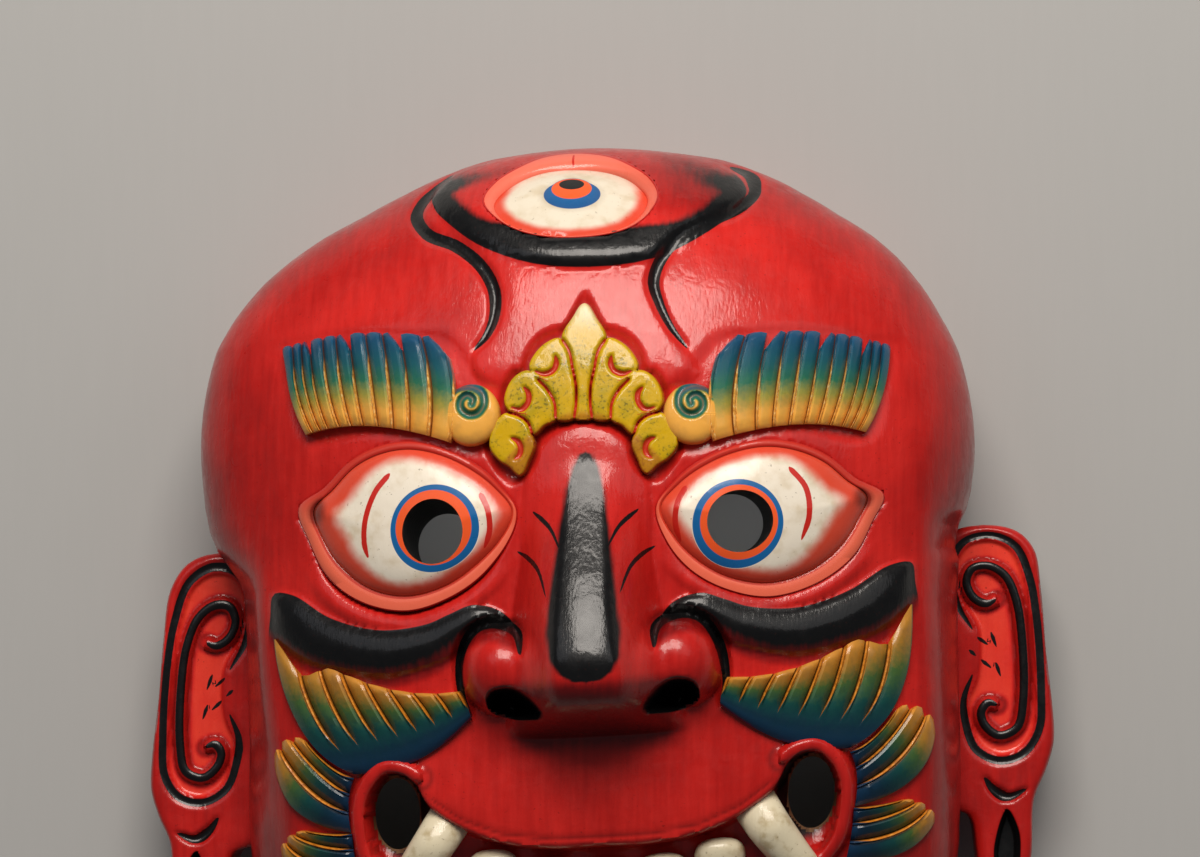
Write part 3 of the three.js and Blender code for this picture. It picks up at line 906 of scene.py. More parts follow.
@dataclass(frozen=True)
class EyePaint:
    """Oil paint on a carved eye: aged cream with specks, shaded orange-red by hand towards the lids,
    a blue and an orange ring, salmon lids, and painted shade at the lids' edges and in the hollows."""

    name: str
    rings: tuple[tuple[float, str], ...]
    shade_from: float
    shade_to: float
    cream: Pair = (2.0, 12.0)
    patch: str = "#C4B08C"
    speck: str = "#6A5A3C"
    shade: str = "#D63A1C"
    lid_red: str = "#B82620"
    # Dark brown of the painted shade at the lids' edges and in the hollows.
    grime: str = "#4A140A"
    vein: str = "#C2241A"
    fine: Grain = Grain(1.4, 5.0)
    coarse: Grain = Grain(7.0, 3.0)
    edge: float = 0.05
    uneven: float = 0.6

    def make(self) -> Material:
        """Mixes the paint, which reads the ring that a place lies in, the shading and the strokes.

        Returns:
            The material.
        """
        material, tree = paint_tree(self.name)
        fine, coarse = self.fine.over(tree), self.coarse.over(tree)
        colour: Colour = self.rings[0][1]
        for start, hexed in self.rings[1:]:
            colour = coat_over(tree, colour, hexed, ("ring", start - self.edge, start + self.edge))
        start, end = self.cream
        cream = (("ring", start - self.edge, start + self.edge), ("ring", end + self.edge, end - self.edge))
        colour = coat_over(tree, colour, self.patch, *cream, (coarse, 0.42, 0.75), most=0.55)
        colour = coat_over(tree, colour, self.speck, *cream, (fine, 0.66, 0.74), most=0.55)
        blush = add_node(tree, "Attribute", {"attribute_name": "blush"}).outputs["Fac"]
        shaky = add_node(
            tree, "Math", {"operation": "MULTIPLY_ADD"}, {0: coarse, 1: 0.2, 2: blush}
        ).outputs[0]
        colour = coat_over(tree, colour, self.shade, (shaky, self.shade_from, self.shade_to), most=0.96)
        colour = coat_over(tree, colour, self.lid_red, "lid_red", most=0.95)
        # Painted shade at the lids' edges and in the hollows.
        colour = coat_over(tree, colour, self.grime, "grime", most=0.85)
        colour = coat_over(tree, colour, self.vein, stroke_edge(tree, 0.15))
        VARNISH.over(tree, colour, self.uneven)
        return material


@dataclass(frozen=True)
class BonePaint:
    """Cream oil paint on the fangs and teeth: thick, yellowed, with brown stains and dark pits."""

    cream: str = "#D6CBAE"
    stain: str = "#A08A5C"
    pit: str = "#5A4626"
    stains: Grain = Grain(6.0, 5.0)
    pits: Grain = Grain(1.6, 4.0)
    uneven: float = 0.9

    def make(self, name: str) -> Material:
        """Mixes the paint, plain all over but for its stains.

        Args:
            name: The material's name.

        Returns:
            The material.
        """
        material, tree = paint_tree(name)
        stains, pits = self.stains.over(tree), self.pits.over(tree)
        colour = coat_over(tree, self.cream, self.stain, (stains, 0.45, 0.72), most=0.7)
        colour = coat_over(tree, colour, self.pit, (pits, 0.64, 0.74), most=0.5)
        VARNISH.over(tree, colour, self.uneven)
        return material


@dataclass(frozen=True)
class PlainPaint:
    """Thin paint or bare wood that is out of sight: one colour with a darker grain, dull."""

    name: str
    light: str
    dark: str
    grain_mm: float
    roughness: float
    bump_mm: float = 0.4
    bump_strength: float = 0.7

    def make(self) -> Material:
        """Mixes the paint, with a grain that runs up the mask.

        Returns:
            The material.
        """
        material, tree = paint_tree(self.name)
        grain = Grain(self.grain_mm, 6.0, (1.0, 0.08, 1.0)).over(tree)
        colour = add_node(
            tree, "ValToRGB", inputs={0: grain}, stops=[(0.3, self.dark), (0.7, self.light)]
        ).outputs[0]
        bump = add_node(
            tree, "Bump",
            inputs={"Height": grain, "Distance": self.bump_mm * 0.001, "Strength": self.bump_strength},
        )
        shader = add_node(
            tree, "BsdfPrincipled",
            inputs={"Base Color": colour, "Roughness": self.roughness, "Normal": bump.outputs["Normal"]},
        )
        add_node(tree, "OutputMaterial", inputs={"Surface": shader.outputs[0]})
        return material


BROW_PAINT = HairPaint(
    "blended_brow_paint",
    (
        (0.0, "#EDA845"), (0.2, "#DCA448"), (0.36, "#949040"), (0.52, "#2C6C52"), (0.7, "#1C5862"),
        (0.95, "#1A4A6C"),
    ),
)
WHISKER_PAINT = HairPaint(
    "blended_whisker_paint",
    (
        (0.0, "#0B2C4A"), (0.22, "#0A2C3C"), (0.44, "#0F4440"), (0.63, "#42602F"), (0.8, "#A8762A"),
        (1.0, "#CC8834"),
    ),
    # The whiskers' cuts get near black painted shade.
    bevel="#C8781E", bevel_light="#E39C40", bevel_dark="#98500F", crease="#3A2410",
)
EYE_PAINT = EyePaint(
    "painted_eye",
    (
        (0.0, "#EC5A28"), (1.0, "#14609C"), (2.0, "#E9DFCD"), (12.5, "#C83A26"), (14.3, "#E2664C"),
        (16.0, "#B41C18"),
    ),
    shade_from=0.34, shade_to=0.84,
)
THIRD_EYE_PAINT = EyePaint(
    "painted_third_eye",
    (
        (0.0, "#0A0A0B"), (1.0, "#EC5A24"), (2.0, "#0E5A94"), (3.0, "#E0D6C2"), (9.0, "#E8705A"),
        (13.6, "#B81E18"),
    ),
    shade_from=0.4, shade_to=0.9, cream=(3.0, 9.0),
)
BARE_WOOD = PlainPaint("bare_carved_wood", "#8C6A45", "#4E3621", grain_mm=2.5, roughness=0.75)
SOOT_PAINT = PlainPaint("thin_black_paint", "#141211", "#0A0909", grain_mm=1.5, roughness=0.55)


@dataclass
class Crown:
    """The gilt-looking crown of seven leaves over the nose, low relief in a carved red hollow."""

    rise: float = 3.6
    sunk: float = 6.0
    back: float = 9.0
    cell_mm: float = 0.5
    spread: float = 0.8
    comma_depth: float = 1.7
    foot: float = 70.6
    foot_bow: float = 0.022
    middle: Places = (
        (0, 111), (3.6, 106), (7, 100), (6, 94.5), (3, 88), (1.7, 82), (1.8, 76), (3, 71.2), (0, 70.6),
        (-3, 71.2), (-1.8, 76), (-1.7, 82), (-3, 88), (-6, 94.5), (-7, 100), (-3.6, 106),
    )
    leaves: tuple[Places, ...] = (
        ((3.8, 71), (3.4, 79), (4.6, 88), (8.6, 98.3), (12.8, 97), (16.8, 93), (18.5, 89), (16.6, 85.6),
         (14.6, 83.9), (10.9, 79.6), (9.2, 75), (9, 70.8)),
        ((10.4, 70.6), (11.2, 77.2), (15.6, 82.6), (19.7, 86.8), (23.8, 85), (26.5, 80.8), (27.2, 76.2),
         (25.5, 73.6), (22, 72), (18.7, 69.3), (17.4, 65.6), (14, 68.6)),
        ((18.8, 64.8), (20.1, 68.2), (23.2, 70.8), (27.6, 71.6), (31.2, 67.5), (32.4, 60.8), (29.5, 56.8),
         (25.8, 54.3), (22.3, 51.4), (19.9, 56), (18, 61)),
    )
    commas: tuple[Places, ...] = (
        ((10, 93), (9.6, 90), (10.8, 87.4), (13.8, 86.2), (17.4, 87.4)),
        ((21.2, 81.8), (19.4, 79.4), (19.5, 76.2), (22, 73.6), (25.6, 74.6)),
        ((25.6, 63.8), (23, 62.4), (22, 60), (22.6, 57.6), (24.4, 56.2)),
    )
    seams: tuple[Places, ...] = (
        ((8, 99), (5.2, 94.5), (3.8, 88), (2.6, 82), (2.5, 76), (3.2, 70)),
        ((9.7, 70), (10.2, 76), (12.8, 80.8), (16.4, 84.6)),
        ((17.8, 64.4), (19.4, 68.8), (22.6, 71.4), (27, 72.8)),
    )
    halo: Places = (
        (0, 116.8), (4, 110), (7.6, 103.4), (9.5, 103.2), (14, 102), (18.3, 98.5), (21.5, 93), (23.3, 87.8),
        (25.2, 88.4), (28.5, 84.5), (30, 80), (31, 76.5), (34, 72.5), (36.5, 65), (34, 56),
        (26, 47), (17, 54),
        (15, 62), (8, 66.5), (0, 68),
    )
    off_middle: float = -1.0
    hollow_depth: float = 2.4

    def __post_init__(self) -> None:
        """Draws the leaves, the cuts and the hollow's edge."""
        self.outlines = [Line(self.middle, closed=True)]
        self.cuts = []
        for side in Side:
            self.outlines += [Line(mirrored(leaf, side), closed=True) for leaf in self.leaves]
            self.cuts += [Stroke(Line(mirrored(comma, side)), 1.0, 0.25, 0.3) for comma in self.commas]
            self.cuts += [Stroke(Line(mirrored(seam, side)), 0.5, 0.05, 0.05) for seam in self.seams]
        self.hollow = Line(both_halves(self.halo), closed=True)

    def leaf(self, x: Values, y: Values, limit: float = 9.0) -> Values:
        """Distance in from the nearest leaf's edge, less than 0 outside the leaves."""
        return np.max([outline.inside(x, y, limit) for outline in self.outlines], axis=0) + self.spread

    def build(self) -> None:
        """Carves the crown from one slab whose low parts are sunk in the face."""
        low, high = (-36.0, 48.5), (36.0, 114.0)
        columns, rows = (int((high[i] - low[i]) / self.cell_mm) for i in (0, 1))
        blank = Blank("crown", columns, rows)
        x, y = between(low[0], high[0], blank.u), between(low[1], high[1], blank.v)
        leaf = self.leaf(x, y)
        height = -self.sunk + (self.rise + self.sunk) * ease(leaf, -0.9, 0.25)
        height += 0.25 * ease(leaf, 0.3, 2.0)
        for cut in self.cuts:
            height -= groove(cut, x, y, self.comma_depth, 0.5)
        skin = HEAD.skin(x, y)
        blank.carve(x + self.off_middle, y, np.where(blank.top, skin + height, skin - self.back))
        signed, half = stroke_marks(self.cuts, x, y)
        tip = ease(y, 100.0, 109.0) * ease(np.abs(x), 9.0, 2.0)
        over_foot = y - (self.foot - self.foot_bow * x * x)
        blank.mark(leaf=leaf, stroke=signed, stroke_half=half, worn=tip, foot=ease(over_foot, 3.5, 0.5))
        blank.weld()
        blank.finish(CrownPaint().make("yellow_crown_paint"), sharp=70.0)


@dataclass
class LockFan:
    """Locks of hair side by side on a sheet, each with a cut, a gold bevel and a flat face."""

    name: str
    sheet: Sheet
    count: int
    rise: float
    paint: Material
    side: Side
    rows: int = 26
    even_root: float = 0.0
    tip_round: float = 0.05
    strip: float = 0.2
    strip_end: float = 0.82
    from_tip: bool = False
    shift: float = 0.0
    back: float = 7.0
    knots: tuple[float, ...] = (0.0, 0.04, 0.11, 0.18, 0.34, 0.66, 0.94)
    heights: tuple[float, ...] = (0.3, 0.92, 1.06, 0.8, 0.95, 0.86, 0.58)
    last_height: float = 0.5

    def tip(self, lock: Values, t: Values) -> Values:
        """How far each lock reaches, 1 at the sheet's edge."""
        return 1.0 - self.tip_round * (2.0 * t - 1.0) ** 2

    def across(self, lock: Values, t: Values) -> Values:
        """The share of the sheet's width at which a part of a lock lies."""
        return (lock + t) / self.count

    def build(self) -> None:
        """Carves the locks from one slab."""
        per = len(self.knots)
        blank = Blank(self.name, self.count * per, self.rows)
        index = np.rint(blank.u * self.count * per).astype(int)
        lock = np.minimum(index // per, self.count - 1)
        knot = index - lock * per
        t = np.array([*self.knots, 1.0])[knot]
        profile = np.array([*self.heights, self.last_height])[knot]
        v = blank.v
        x, y = self.sheet.at(self.across(lock, t), v * self.tip(lock, t))
        cut_in = ease(v, self.even_root, self.even_root + 0.25) if self.even_root else np.ones(v.shape)
        height = self.rise * between(0.8, profile, cut_in)
        height *= between(0.55, 1.0, np.sqrt(np.clip(v / 0.12, 0.0, 1.0)))
        height *= between(0.6, 1.0, np.sqrt(np.clip((1.0 - v) / 0.08, 0.0, 1.0)))
        skin = HEAD.skin(x, y)
        z = np.where(blank.top, skin + height, skin - self.back)
        blank.carve(self.side.value * x + self.shift, y, z)
        run_in = v - self.strip_end if self.from_tip else self.strip_end - v
        pointed = self.strip * np.clip(run_in / 0.35, -1.0, 1.0)
        # The third mark is painted shade in the valley at the start of each lock.
        blank.mark(
            run=v * self.tip(lock, t),
            bevel=np.where(blank.top, pointed - t, -1.0),
            crease=(knot % per == 0) * cut_in * blank.top,
        )
        blank.weld()
        blank.finish(self.paint, sharp=38.0)


@dataclass
class BrowFan(LockFan):
    """An eyebrow's locks, in four groups that each start low on the nose's side."""

    groups: tuple[tuple[int, float], ...] = ((2, 105.0), (3, 127.0), (3, 108.0), (3, 75.0))
    dip: float = 0.15

    def _group(self, lock: Values) -> tuple[Values, Values, Values, Values]:
        """Each lock's place in its group, the group's count, and its start and width on the sheet.

        Args:
            lock: The locks' numbers.

        Returns:
            The four values for each lock.
        """
        counts = np.array([count for count, _ in self.groups])
        widths = np.array([width for _, width in self.groups]) / sum(width for _, width in self.groups)
        starts = np.cumsum(counts) - counts
        which = np.searchsorted(starts, lock, side="right") - 1
        return lock - starts[which], counts[which], (np.cumsum(widths) - widths)[which], widths[which]

    def tip(self, lock: Values, t: Values) -> Values:
        """Each group starts low and rises at once to its level.

        Args:
            lock: The locks' numbers.
            t: The share of the way across each lock.

        Returns:
            How far each lock reaches.
        """
        place, _, _, _ = self._group(lock)
        rise = ease(place + t, 0.0, 0.65)
        scallop = 0.03 * np.sqrt(np.clip(1.0 - (2.0 * t - 1.0) ** 2, 0.0, 1.0))
        return 0.97 - self.dip * (1.0 - rise) + scallop

    def across(self, lock: Values, t: Values) -> Values:
        """The groups have widths of their own."""
        place, count, start, width = self._group(lock)
        return start + width * (place + t) / count


@dataclass
class CheekFan(LockFan):
    """The whiskers on the cheek, which draw in and then run out to one long point."""

    dip: float = 0.15

    def tip(self, lock: Values, t: Values) -> Values:
        """The tips follow the edge of the cheek's roll.

        Args:
            lock: The locks' numbers.
            t: The share of the way across each lock.

        Returns:
            How far each lock reaches.
        """
        drawn_in = self.dip * np.exp(-(((self.across(lock, t) - 0.86) / 0.11) ** 2))
        scallop = 0.02 * np.sqrt(np.clip(1.0 - (2.0 * t - 1.0) ** 2, 0.0, 1.0))
        return 0.95 - drawn_in + scallop


@dataclass
class Brow:
    """One eyebrow: eleven painted locks and the curl at its inner end."""

    side: Side
    shift: float = 0.0
    rows: tuple[Places, Places, Places] = (
        ((44.5, 62.2), (73.7, 68.6), (99, 66.2)),
        ((43, 79.7), (76.5, 84.4), (105.5, 80.9)),
        ((47.9, 99.8), (79.7, 102.6), (108.2, 98.4)),
    )
    end: Pair = (104.5, 80.9)
    locks: int = 11
    rise: float = 5.0
    back: float = 7.0
    curl_cells: tuple[int, int] = (96, 26)
    knob: Pair = (37.6, 72.0)
    knob_reach: Pair = (10.4, 11.0)
    curl: Places = (
        (45.5, 78), (43.5, 80.8), (40.3, 82), (36.3, 81.6), (33.2, 79), (32.8, 75.2), (35, 72.2),
        (38.4, 71.8),
        (41, 74), (41, 77), (38.8, 78.7), (36.7, 77.4), (37, 75.6),
    )

    def outline(self) -> Line:
        """The whole brow's edge, for the hollow it stands in.

        Returns:
            The edge, on the drawing.
        """
        root = self.rows[0]
        x, y = Sheet(self.rows).at(np.linspace(0.0, 1.0, 7), np.full(7, 0.97))
        inner = [(34, 82), (27, 77), (27, 66), (35, 60.5)]
        rim = mirrored([*inner, *root, self.end, *zip(x[::-1], y[::-1])], self.side)
        return Line([(across + self.shift, up) for across, up in rim], closed=True)

    def build(self, paint: Material) -> None:
        """Carves the locks and the curl.

        Args:
            paint: Its paint.
        """
        label = self.side.name.lower()
        fan = BrowFan(
            f"brow_locks_{label}", Sheet(self.rows), self.locks, self.rise, paint, self.side,
            rows=34, shift=self.shift,
        )
        fan.build()
        self._curl(label, paint)

    def _curl(self, label: str, paint: Material) -> None:
        """Carves the knob with its spiral cut.

        Args:
            label: The side's name.
            paint: Its paint.
        """
        blank = Blank(f"brow_curl_{label}", *self.curl_cells)
        angle = blank.u * 2.0 * math.pi
        out = np.clip(blank.v, 0.0, 1.0)
        x = self.knob[0] + self.knob_reach[0] * out * np.cos(angle)
        y = self.knob[1] + self.knob_reach[1] * out * np.sin(angle)
        cut = Stroke(Line(self.curl), 1.1, 0.05, 0.3)
        dome = np.sqrt(np.clip(1.0 - out**4, 0.0, 1.0))
        height = self.rise * (0.25 + 0.85 * dome) - groove(cut, x, y, 2.2, 0.7)
        skin = HEAD.skin(x, y)
        z = np.where(blank.top, skin + height, skin - self.back)
        blank.carve(self.side.value * x + self.shift, y, z)
        distance, _, _ = cut.line.near(x, y, 6.0)
        # The third mark is painted shade along the middle of the spiral cut.
        blank.mark(
            run=0.06 + 0.5 * ease(distance, 2.4, 0.9) + 0.2 * ease(y, 76.0, 83.0),
            bevel=np.full(x.shape, -1.0),
            crease=0.5 * ease(distance, 0.5, 0.1),
        )
        blank.weld()
        blank.finish(paint, sharp=60.0)


@dataclass
class Whiskers:
    """The fans of painted whiskers beside the mouth on one side."""

    side: Side
    rise: float = 4.6
    fans: tuple[tuple[tuple[Places, Places, Places], int, float], ...] = (
        ((((44.2, -33.2), (66, -47.6), (88.9, -51.2)), ((45.4, -27.9), (74.2, -33.1), (109.5, -31.1)),
          ((47.6, -23.1), (81.7, -17.6), (115.6, 5.5))), 8, 0.3),
        ((((88.9, -52.6), (91.3, -61.4), (90.6, -72.5)), ((98.5, -47.2), (104.1, -52.3), (112.4, -63.4)),
          ((106.8, -37.8), (115.2, -38), (122.2, -45.1))), 3, 0.0),
        ((((90.2, -72.8), (89.5, -81.4), (87.4, -92.2)), ((99.6, -72.5), (104.4, -79.1), (108.8, -90.4)),
          ((108.4, -71.1), (116.1, -73.2), (122.8, -78.7))), 3, 0.0),
        ((((88, -92), (85, -101), (80, -109)), ((97, -94), (99, -102.5), (97, -113)),
          ((106, -95), (111.5, -100), (110, -110))), 3, 0.0),
    )

    def build(self, paint: Material) -> None:
        """Carves each fan.

        Args:
            paint: Its paint.
        """
        label = self.side.name.lower()
        for number, (rows, count, even_root) in enumerate(self.fans, start=1):
            kind = CheekFan if number == 1 else LockFan
            fan = kind(
                f"whiskers_{label}_{number}", Sheet(rows), count, self.rise, paint, self.side,
                even_root=even_root, tip_round=0.07, from_tip=True, strip_end=0.34 if number == 1 else 0.02,
            )
            fan.build()


@dataclass
class Eye:
    """One bulging eye, bored through, with its painted rings and salmon lids."""

    side: Side
    hole: Pair = (54.4, 32.4)
    hole_radius: float = 11.6
    middle_up: float = 35.0
    bulge: float = 8.5
    outer: Places = (
        (24.5, 38.6), (30.2, 47), (37.6, 53.8), (48.3, 59.5), (63, 63.2), (75.7, 61.6),
        (85.8, 56.9), (95.6, 48.4),
        (105.6, 42), (101.5, 31), (94.8, 17.8), (82, 8.2), (64.6, 3.9), (48.5, 7.8), (36.2, 15.6),
        (28, 26.5),
    )
    inner: Places = (
        (26.4, 38.6), (32.5, 46.6), (40.3, 52.6), (51, 57.8), (63.1, 60.4), (74.5, 59),
        (84.3, 54.6), (92.2, 47.6),
        (99.6, 41), (96.4, 32), (90, 21.4), (79, 12.8), (64.8, 9.2), (50.6, 12), (39.6, 18.6), (31, 28),
    )
    strokes: tuple[Places, ...] = (
        ((71.5, 52.6), (77.5, 44.6), (78.7, 33.8), (75.9, 24.2)),
        ((35.5, 46), (32.4, 40), (31.6, 32), (33.4, 25.5)),
    )
    tilt: Pair = (9.0, 1.0)
    around: int = 240
    rings: int = 29
    bore_depth: float = 24.0
    back: float = 7.0
    ring_flat: float = 1.0
    ring_up: float = 0.0
    lower_up: float = 0.0

    def build(self, paint: Material, soot: Material) -> None:
        """Carves the eye as rings round its hole, whose walls go down to the hollow.

        Rows 0 to 2 are the hole's edge and the painted rings, 3 to 12 the white, 13 to 16 the lid, and
        the rest its outer edge and foot. Over the white they stand twice as close.

        Args:
            paint: The eye's paint.
            soot: The paint of the bore.
        """
        blank = Blank(f"eye_{self.side.name.lower()}", self.around, self.rings, ring=True)
        cell = np.rint(blank.v * self.rings)
        row = np.where(cell > 22.0, cell - 10.0, np.where(cell > 2.0, 1.0 + 0.5 * cell, cell))
        angle = blank.u * 2.0 * math.pi - math.pi
        cx, cy = self.hole
        hole = np.full(angle.shape, self.hole_radius)
        middle = (54.0, 32.0 + self.ring_up)
        orange = oval_reach(self.hole, middle, (13.7, 14.0 * self.ring_flat), angle)
        blue = oval_reach(self.hole, (53.6, 31.5 + self.ring_up), (16.0, 16.6 * self.ring_flat), angle)
        orange = np.maximum(orange, hole + 0.4)
        lid_in = Line(self.inner, closed=True, steps=14).reach(self.hole, angle)
        lid_out = Line(self.outer, closed=True, steps=14).reach(self.hole, angle)
        white = np.clip((row - 2.0) / 10.0, 0.0, 1.0)
        reach = np.select(
            [row == 0, row == 1, row == 2, row <= 12, *(row == number for number in range(13, 19))],
            [hole, orange, blue, between(blue, lid_in + 0.4, white), lid_in, lid_in + 0.5,
             between(lid_in, lid_out, 0.5), lid_out - 0.35, lid_out, lid_out + 0.3],
            lid_out + 0.6,
        )
        x, y = cx + reach * np.cos(angle), cy + reach * np.sin(angle)
        ball = swell(Line(self.inner, closed=True).inside(x, y, 26.0) + 0.3, 25.0, self.bulge) - 0.4
        upper = ease(y, self.middle_up - 4.0, self.middle_up + 8.0)
        height = np.select(
            [row <= 12, *(row == number for number in range(13, 19))],
            [ball, between(0.5, 1.2, upper), between(0.8, 1.6, upper), between(1.2, 1.7, upper),
             between(1.0, 1.1, upper), 0.5, -1.5],
            -5.0,
        )
        skin = HEAD.skin(x, y)
        deep = np.where(row <= 2, self.bore_depth, self.back)
        down_x = deep * math.tan(math.radians(self.tilt[0]))
        down_y = deep * math.tan(math.radians(self.tilt[1]))
        sink = np.where(blank.top | (row > 2), 0.0, 1.0)
        z = np.where(blank.top, skin + height, skin + np.minimum(height, 0.0) - deep)
        raised = self.lower_up * ease(y, self.middle_up, self.middle_up - 18.0) * ease(reach, hole, lid_in)
        blank.carve(self.side.value * (x - sink * down_x), y - sink * down_y + raised, z)
        veins = [Stroke(Line(points), 1.0, 0.06, 0.2) for points in self.strokes]
        signed, half = stroke_marks(veins, x, y)
        corner = ease(x, 68.0, 90.0)
        room = between(11.0, 9.0, upper) + 8.0 * corner + 3.0 * ease(x, 44.0, 30.0)
        rim_gap = np.clip((lid_in - reach) / room, 0.0, 1.0)
        blush = (1.0 - rim_gap) * between(0.9, 1.1, corner) * (row <= 12) * (row > 2)
        # Painted shade: thin dark lines at the lid's inner and outer edges, most under the upper lid, and a
        # dark patch in the recess at the outer corner.
        corner_x, corner_y = self.inner[8]
        recess = 0.9 * ease(np.hypot(x - corner_x, y - corner_y), 6.5, 3.0) * (row <= 14)
        edges = 0.1 * (row == 12) + 0.2 * (row == 13) * upper + 0.25 * ease(row, 16.2, 17.5)
        grime = np.maximum(edges, recess)
        lid_red = (row >= 13) * ease(y, self.middle_up + 2.0, self.middle_up + 12.0)
        lid_red = lid_red * between(0.85, 0.98, ease(row, 15.0, 16.0))
        blank.mark(
            ring=row * blank.top, blush=blush, stroke=signed, stroke_half=half, grime=grime * blank.top,
            lid_red=lid_red, down=np.where(blank.top, 0.0, 1.0),
        )
        blank.weld()
        self._blacken_bore(blank)
        blank.finish(paint, soot, sharp=40.0)

    def _blacken_bore(self, blank: Blank) -> None:
        """Gives the bore's wall its thin black paint.

        Args:
            blank: The eye.
        """
        mesh = blank.object.data
        down = np.empty(len(mesh.vertices), np.float32)
        mesh.attributes["down"].data.foreach_get("value", down)
        for face in mesh.polygons:
            face.material_index = int(down[list(face.vertices)].mean() > 0.2)


@dataclass
class ThirdEye:
    """The third eye, scooped out of the boss on the forehead."""

    centre: Pair = (-7.1, 156.4)
    pupil: tuple[Pair, Pair] = ((-7.1, 157.1), (4.6, 2.1))
    iris: tuple[Pair, Pair] = ((-7.0, 155.3), (7.3, 4.2))
    blue: tuple[Pair, Pair] = ((-6.7, 152.9), (10.3, 5.8))
    crack: Places = ((-7.0, 170.6), (-7.3, 167.5), (-7.1, 164.2))
    white: Places = (
        (-35, 149.4), (-29.5, 157), (-19.5, 162.2), (-7.5, 163.8), (5.5, 162.4), (15, 158), (20.2, 151.4),
        (17.8, 144.4), (10, 139), (-6.5, 136.6), (-21.5, 138.4), (-31.6, 143.4),
    )
    socket: Places = (
        (-39.2, 151.4), (-36, 158.5), (-28.4, 164.4), (-18, 169.6), (-8, 171.4), (4, 169.8), (14, 164.6),
        (21.5, 158.8), (24.4, 152.6), (20.5, 144.5), (12, 138.9), (-6.4, 136.2), (-23, 138.4), (-33.5, 144),
    )
    around: int = 144
    rings: int = 17
    back: float = 9.0
    ball_rise: float = 6.0
    seat_low: Pair = (137.2, -0.7)
    seat_high: Pair = (163.4, -6.5)
    seat_bow: float = 0.0022

    def edge(self) -> Line:
        """The socket's rim."""
        return Line(self.socket, closed=True)

    def build(self, boss: Callable[[Values, Values], Values], paint: Material) -> None:
        """Carves the eye as rings round its pupil.

        Rows 0 to 3 are the pupil's middle and the painted rings, 4 to 9 the white, 10 to 14 the
        socket's wall, and the rest its edge and foot.

        Args:
            boss: The height of the boss over the bare head at each place.
            paint: The eye's paint.
        """
        blank = Blank("third_eye", self.around, self.rings, ring=True)
        row = np.rint(blank.v * self.rings)
        angle = blank.u * 2.0 * math.pi - math.pi
        cx, cy = self.centre
        ovals = [oval_reach(self.centre, *oval, angle) for oval in (self.pupil, self.iris, self.blue)]
        ovals[1] = np.maximum(ovals[1], ovals[0] + 0.2)
        ovals[2] = np.maximum(ovals[2], ovals[1] + 0.15)
        white = Line(self.white, closed=True, steps=12).reach(self.centre, angle)
        rim = Line(self.socket, closed=True, steps=12).reach(self.centre, angle)
        ovals[2] = np.minimum(ovals[2], white - 0.6)
        ball_share = np.clip((row - 3.0) / 6.0, 0.0, 1.0)
        wall_share = np.clip((row - 9.0) / 5.0, 0.0, 1.0)
        reach = np.select(
            [row == 0, row == 1, row == 2, row == 3, row <= 9, row <= 14, row == 15, row == 16],
            [np.zeros(angle.shape), ovals[0], ovals[1], ovals[2], between(ovals[2], white, ball_share),
             between(white, rim, wall_share), rim + 0.3, rim + 0.6],
            rim + 0.9,
        )
        x, y = cx + reach * np.cos(angle), cy + reach * np.sin(angle)
        skin = HEAD.skin(x, y) + boss(x, y)
        top_side = ease(np.sin(angle), -0.7, 1.0)
        out = np.clip(reach / np.maximum(white, 1e-6), 0.0, 1.0)
        ball = self._floor(x, y, boss) + self.ball_rise * (1.0 - out**2.2) - skin
        wall = between(np.minimum(ball, -0.6), 0.3, wall_share**0.8)
        height = np.select([row <= 9, row <= 14, row == 15, row == 16], [ball, wall, 0.1, -1.2], -6.0)
        blank.carve(x, y, np.where(blank.top, skin + height, skin - self.back))
        signed, half = stroke_marks([Stroke(Line(self.crack), 0.4, 0.3, 0.3)], x, y)
        blush = ease(out, 0.66, 1.04) * (row <= 9) * between(0.4, 1.0, ease(-np.sin(angle), -0.25, 0.3))
        # Painted shade under the socket's upper wall and a thin dark line at the blue ring's edge.
        grime = 0.16 * (row == 9) * top_side + 0.2 * (row == 3)
        blank.mark(
            ring=row * blank.top, blush=blush, stroke=signed, stroke_half=half, grime=grime * blank.top,
            lid_red=0.25 * ease(row, 12.0, 14.0),
        )
        blank.weld()
        blank.finish(paint, sharp=55.0)

    def _floor(self, x: Values, y: Values, boss: Callable[[Values, Values], Values]) -> Values:
        """The eyeball's seat: a plane that faces the viewer more than the forehead does.

        Args:
            x, y: Places across and up.
            boss: The height of the boss over the bare head at each place.

        Returns:
            Its height over the rim at each place.
        """
        (low, low_sunk), (high, high_sunk) = self.seat_low, self.seat_high
        middle, ends = np.full(2, self.centre[0]), np.array([low, high])
        z_low, z_high = HEAD.skin(middle, ends) + boss(middle, ends) + np.array([low_sunk, high_sunk])
        bow = self.seat_bow * (x - self.centre[0]) ** 2
        return between(z_low, z_high, (y - low) / (high - low)) - bow


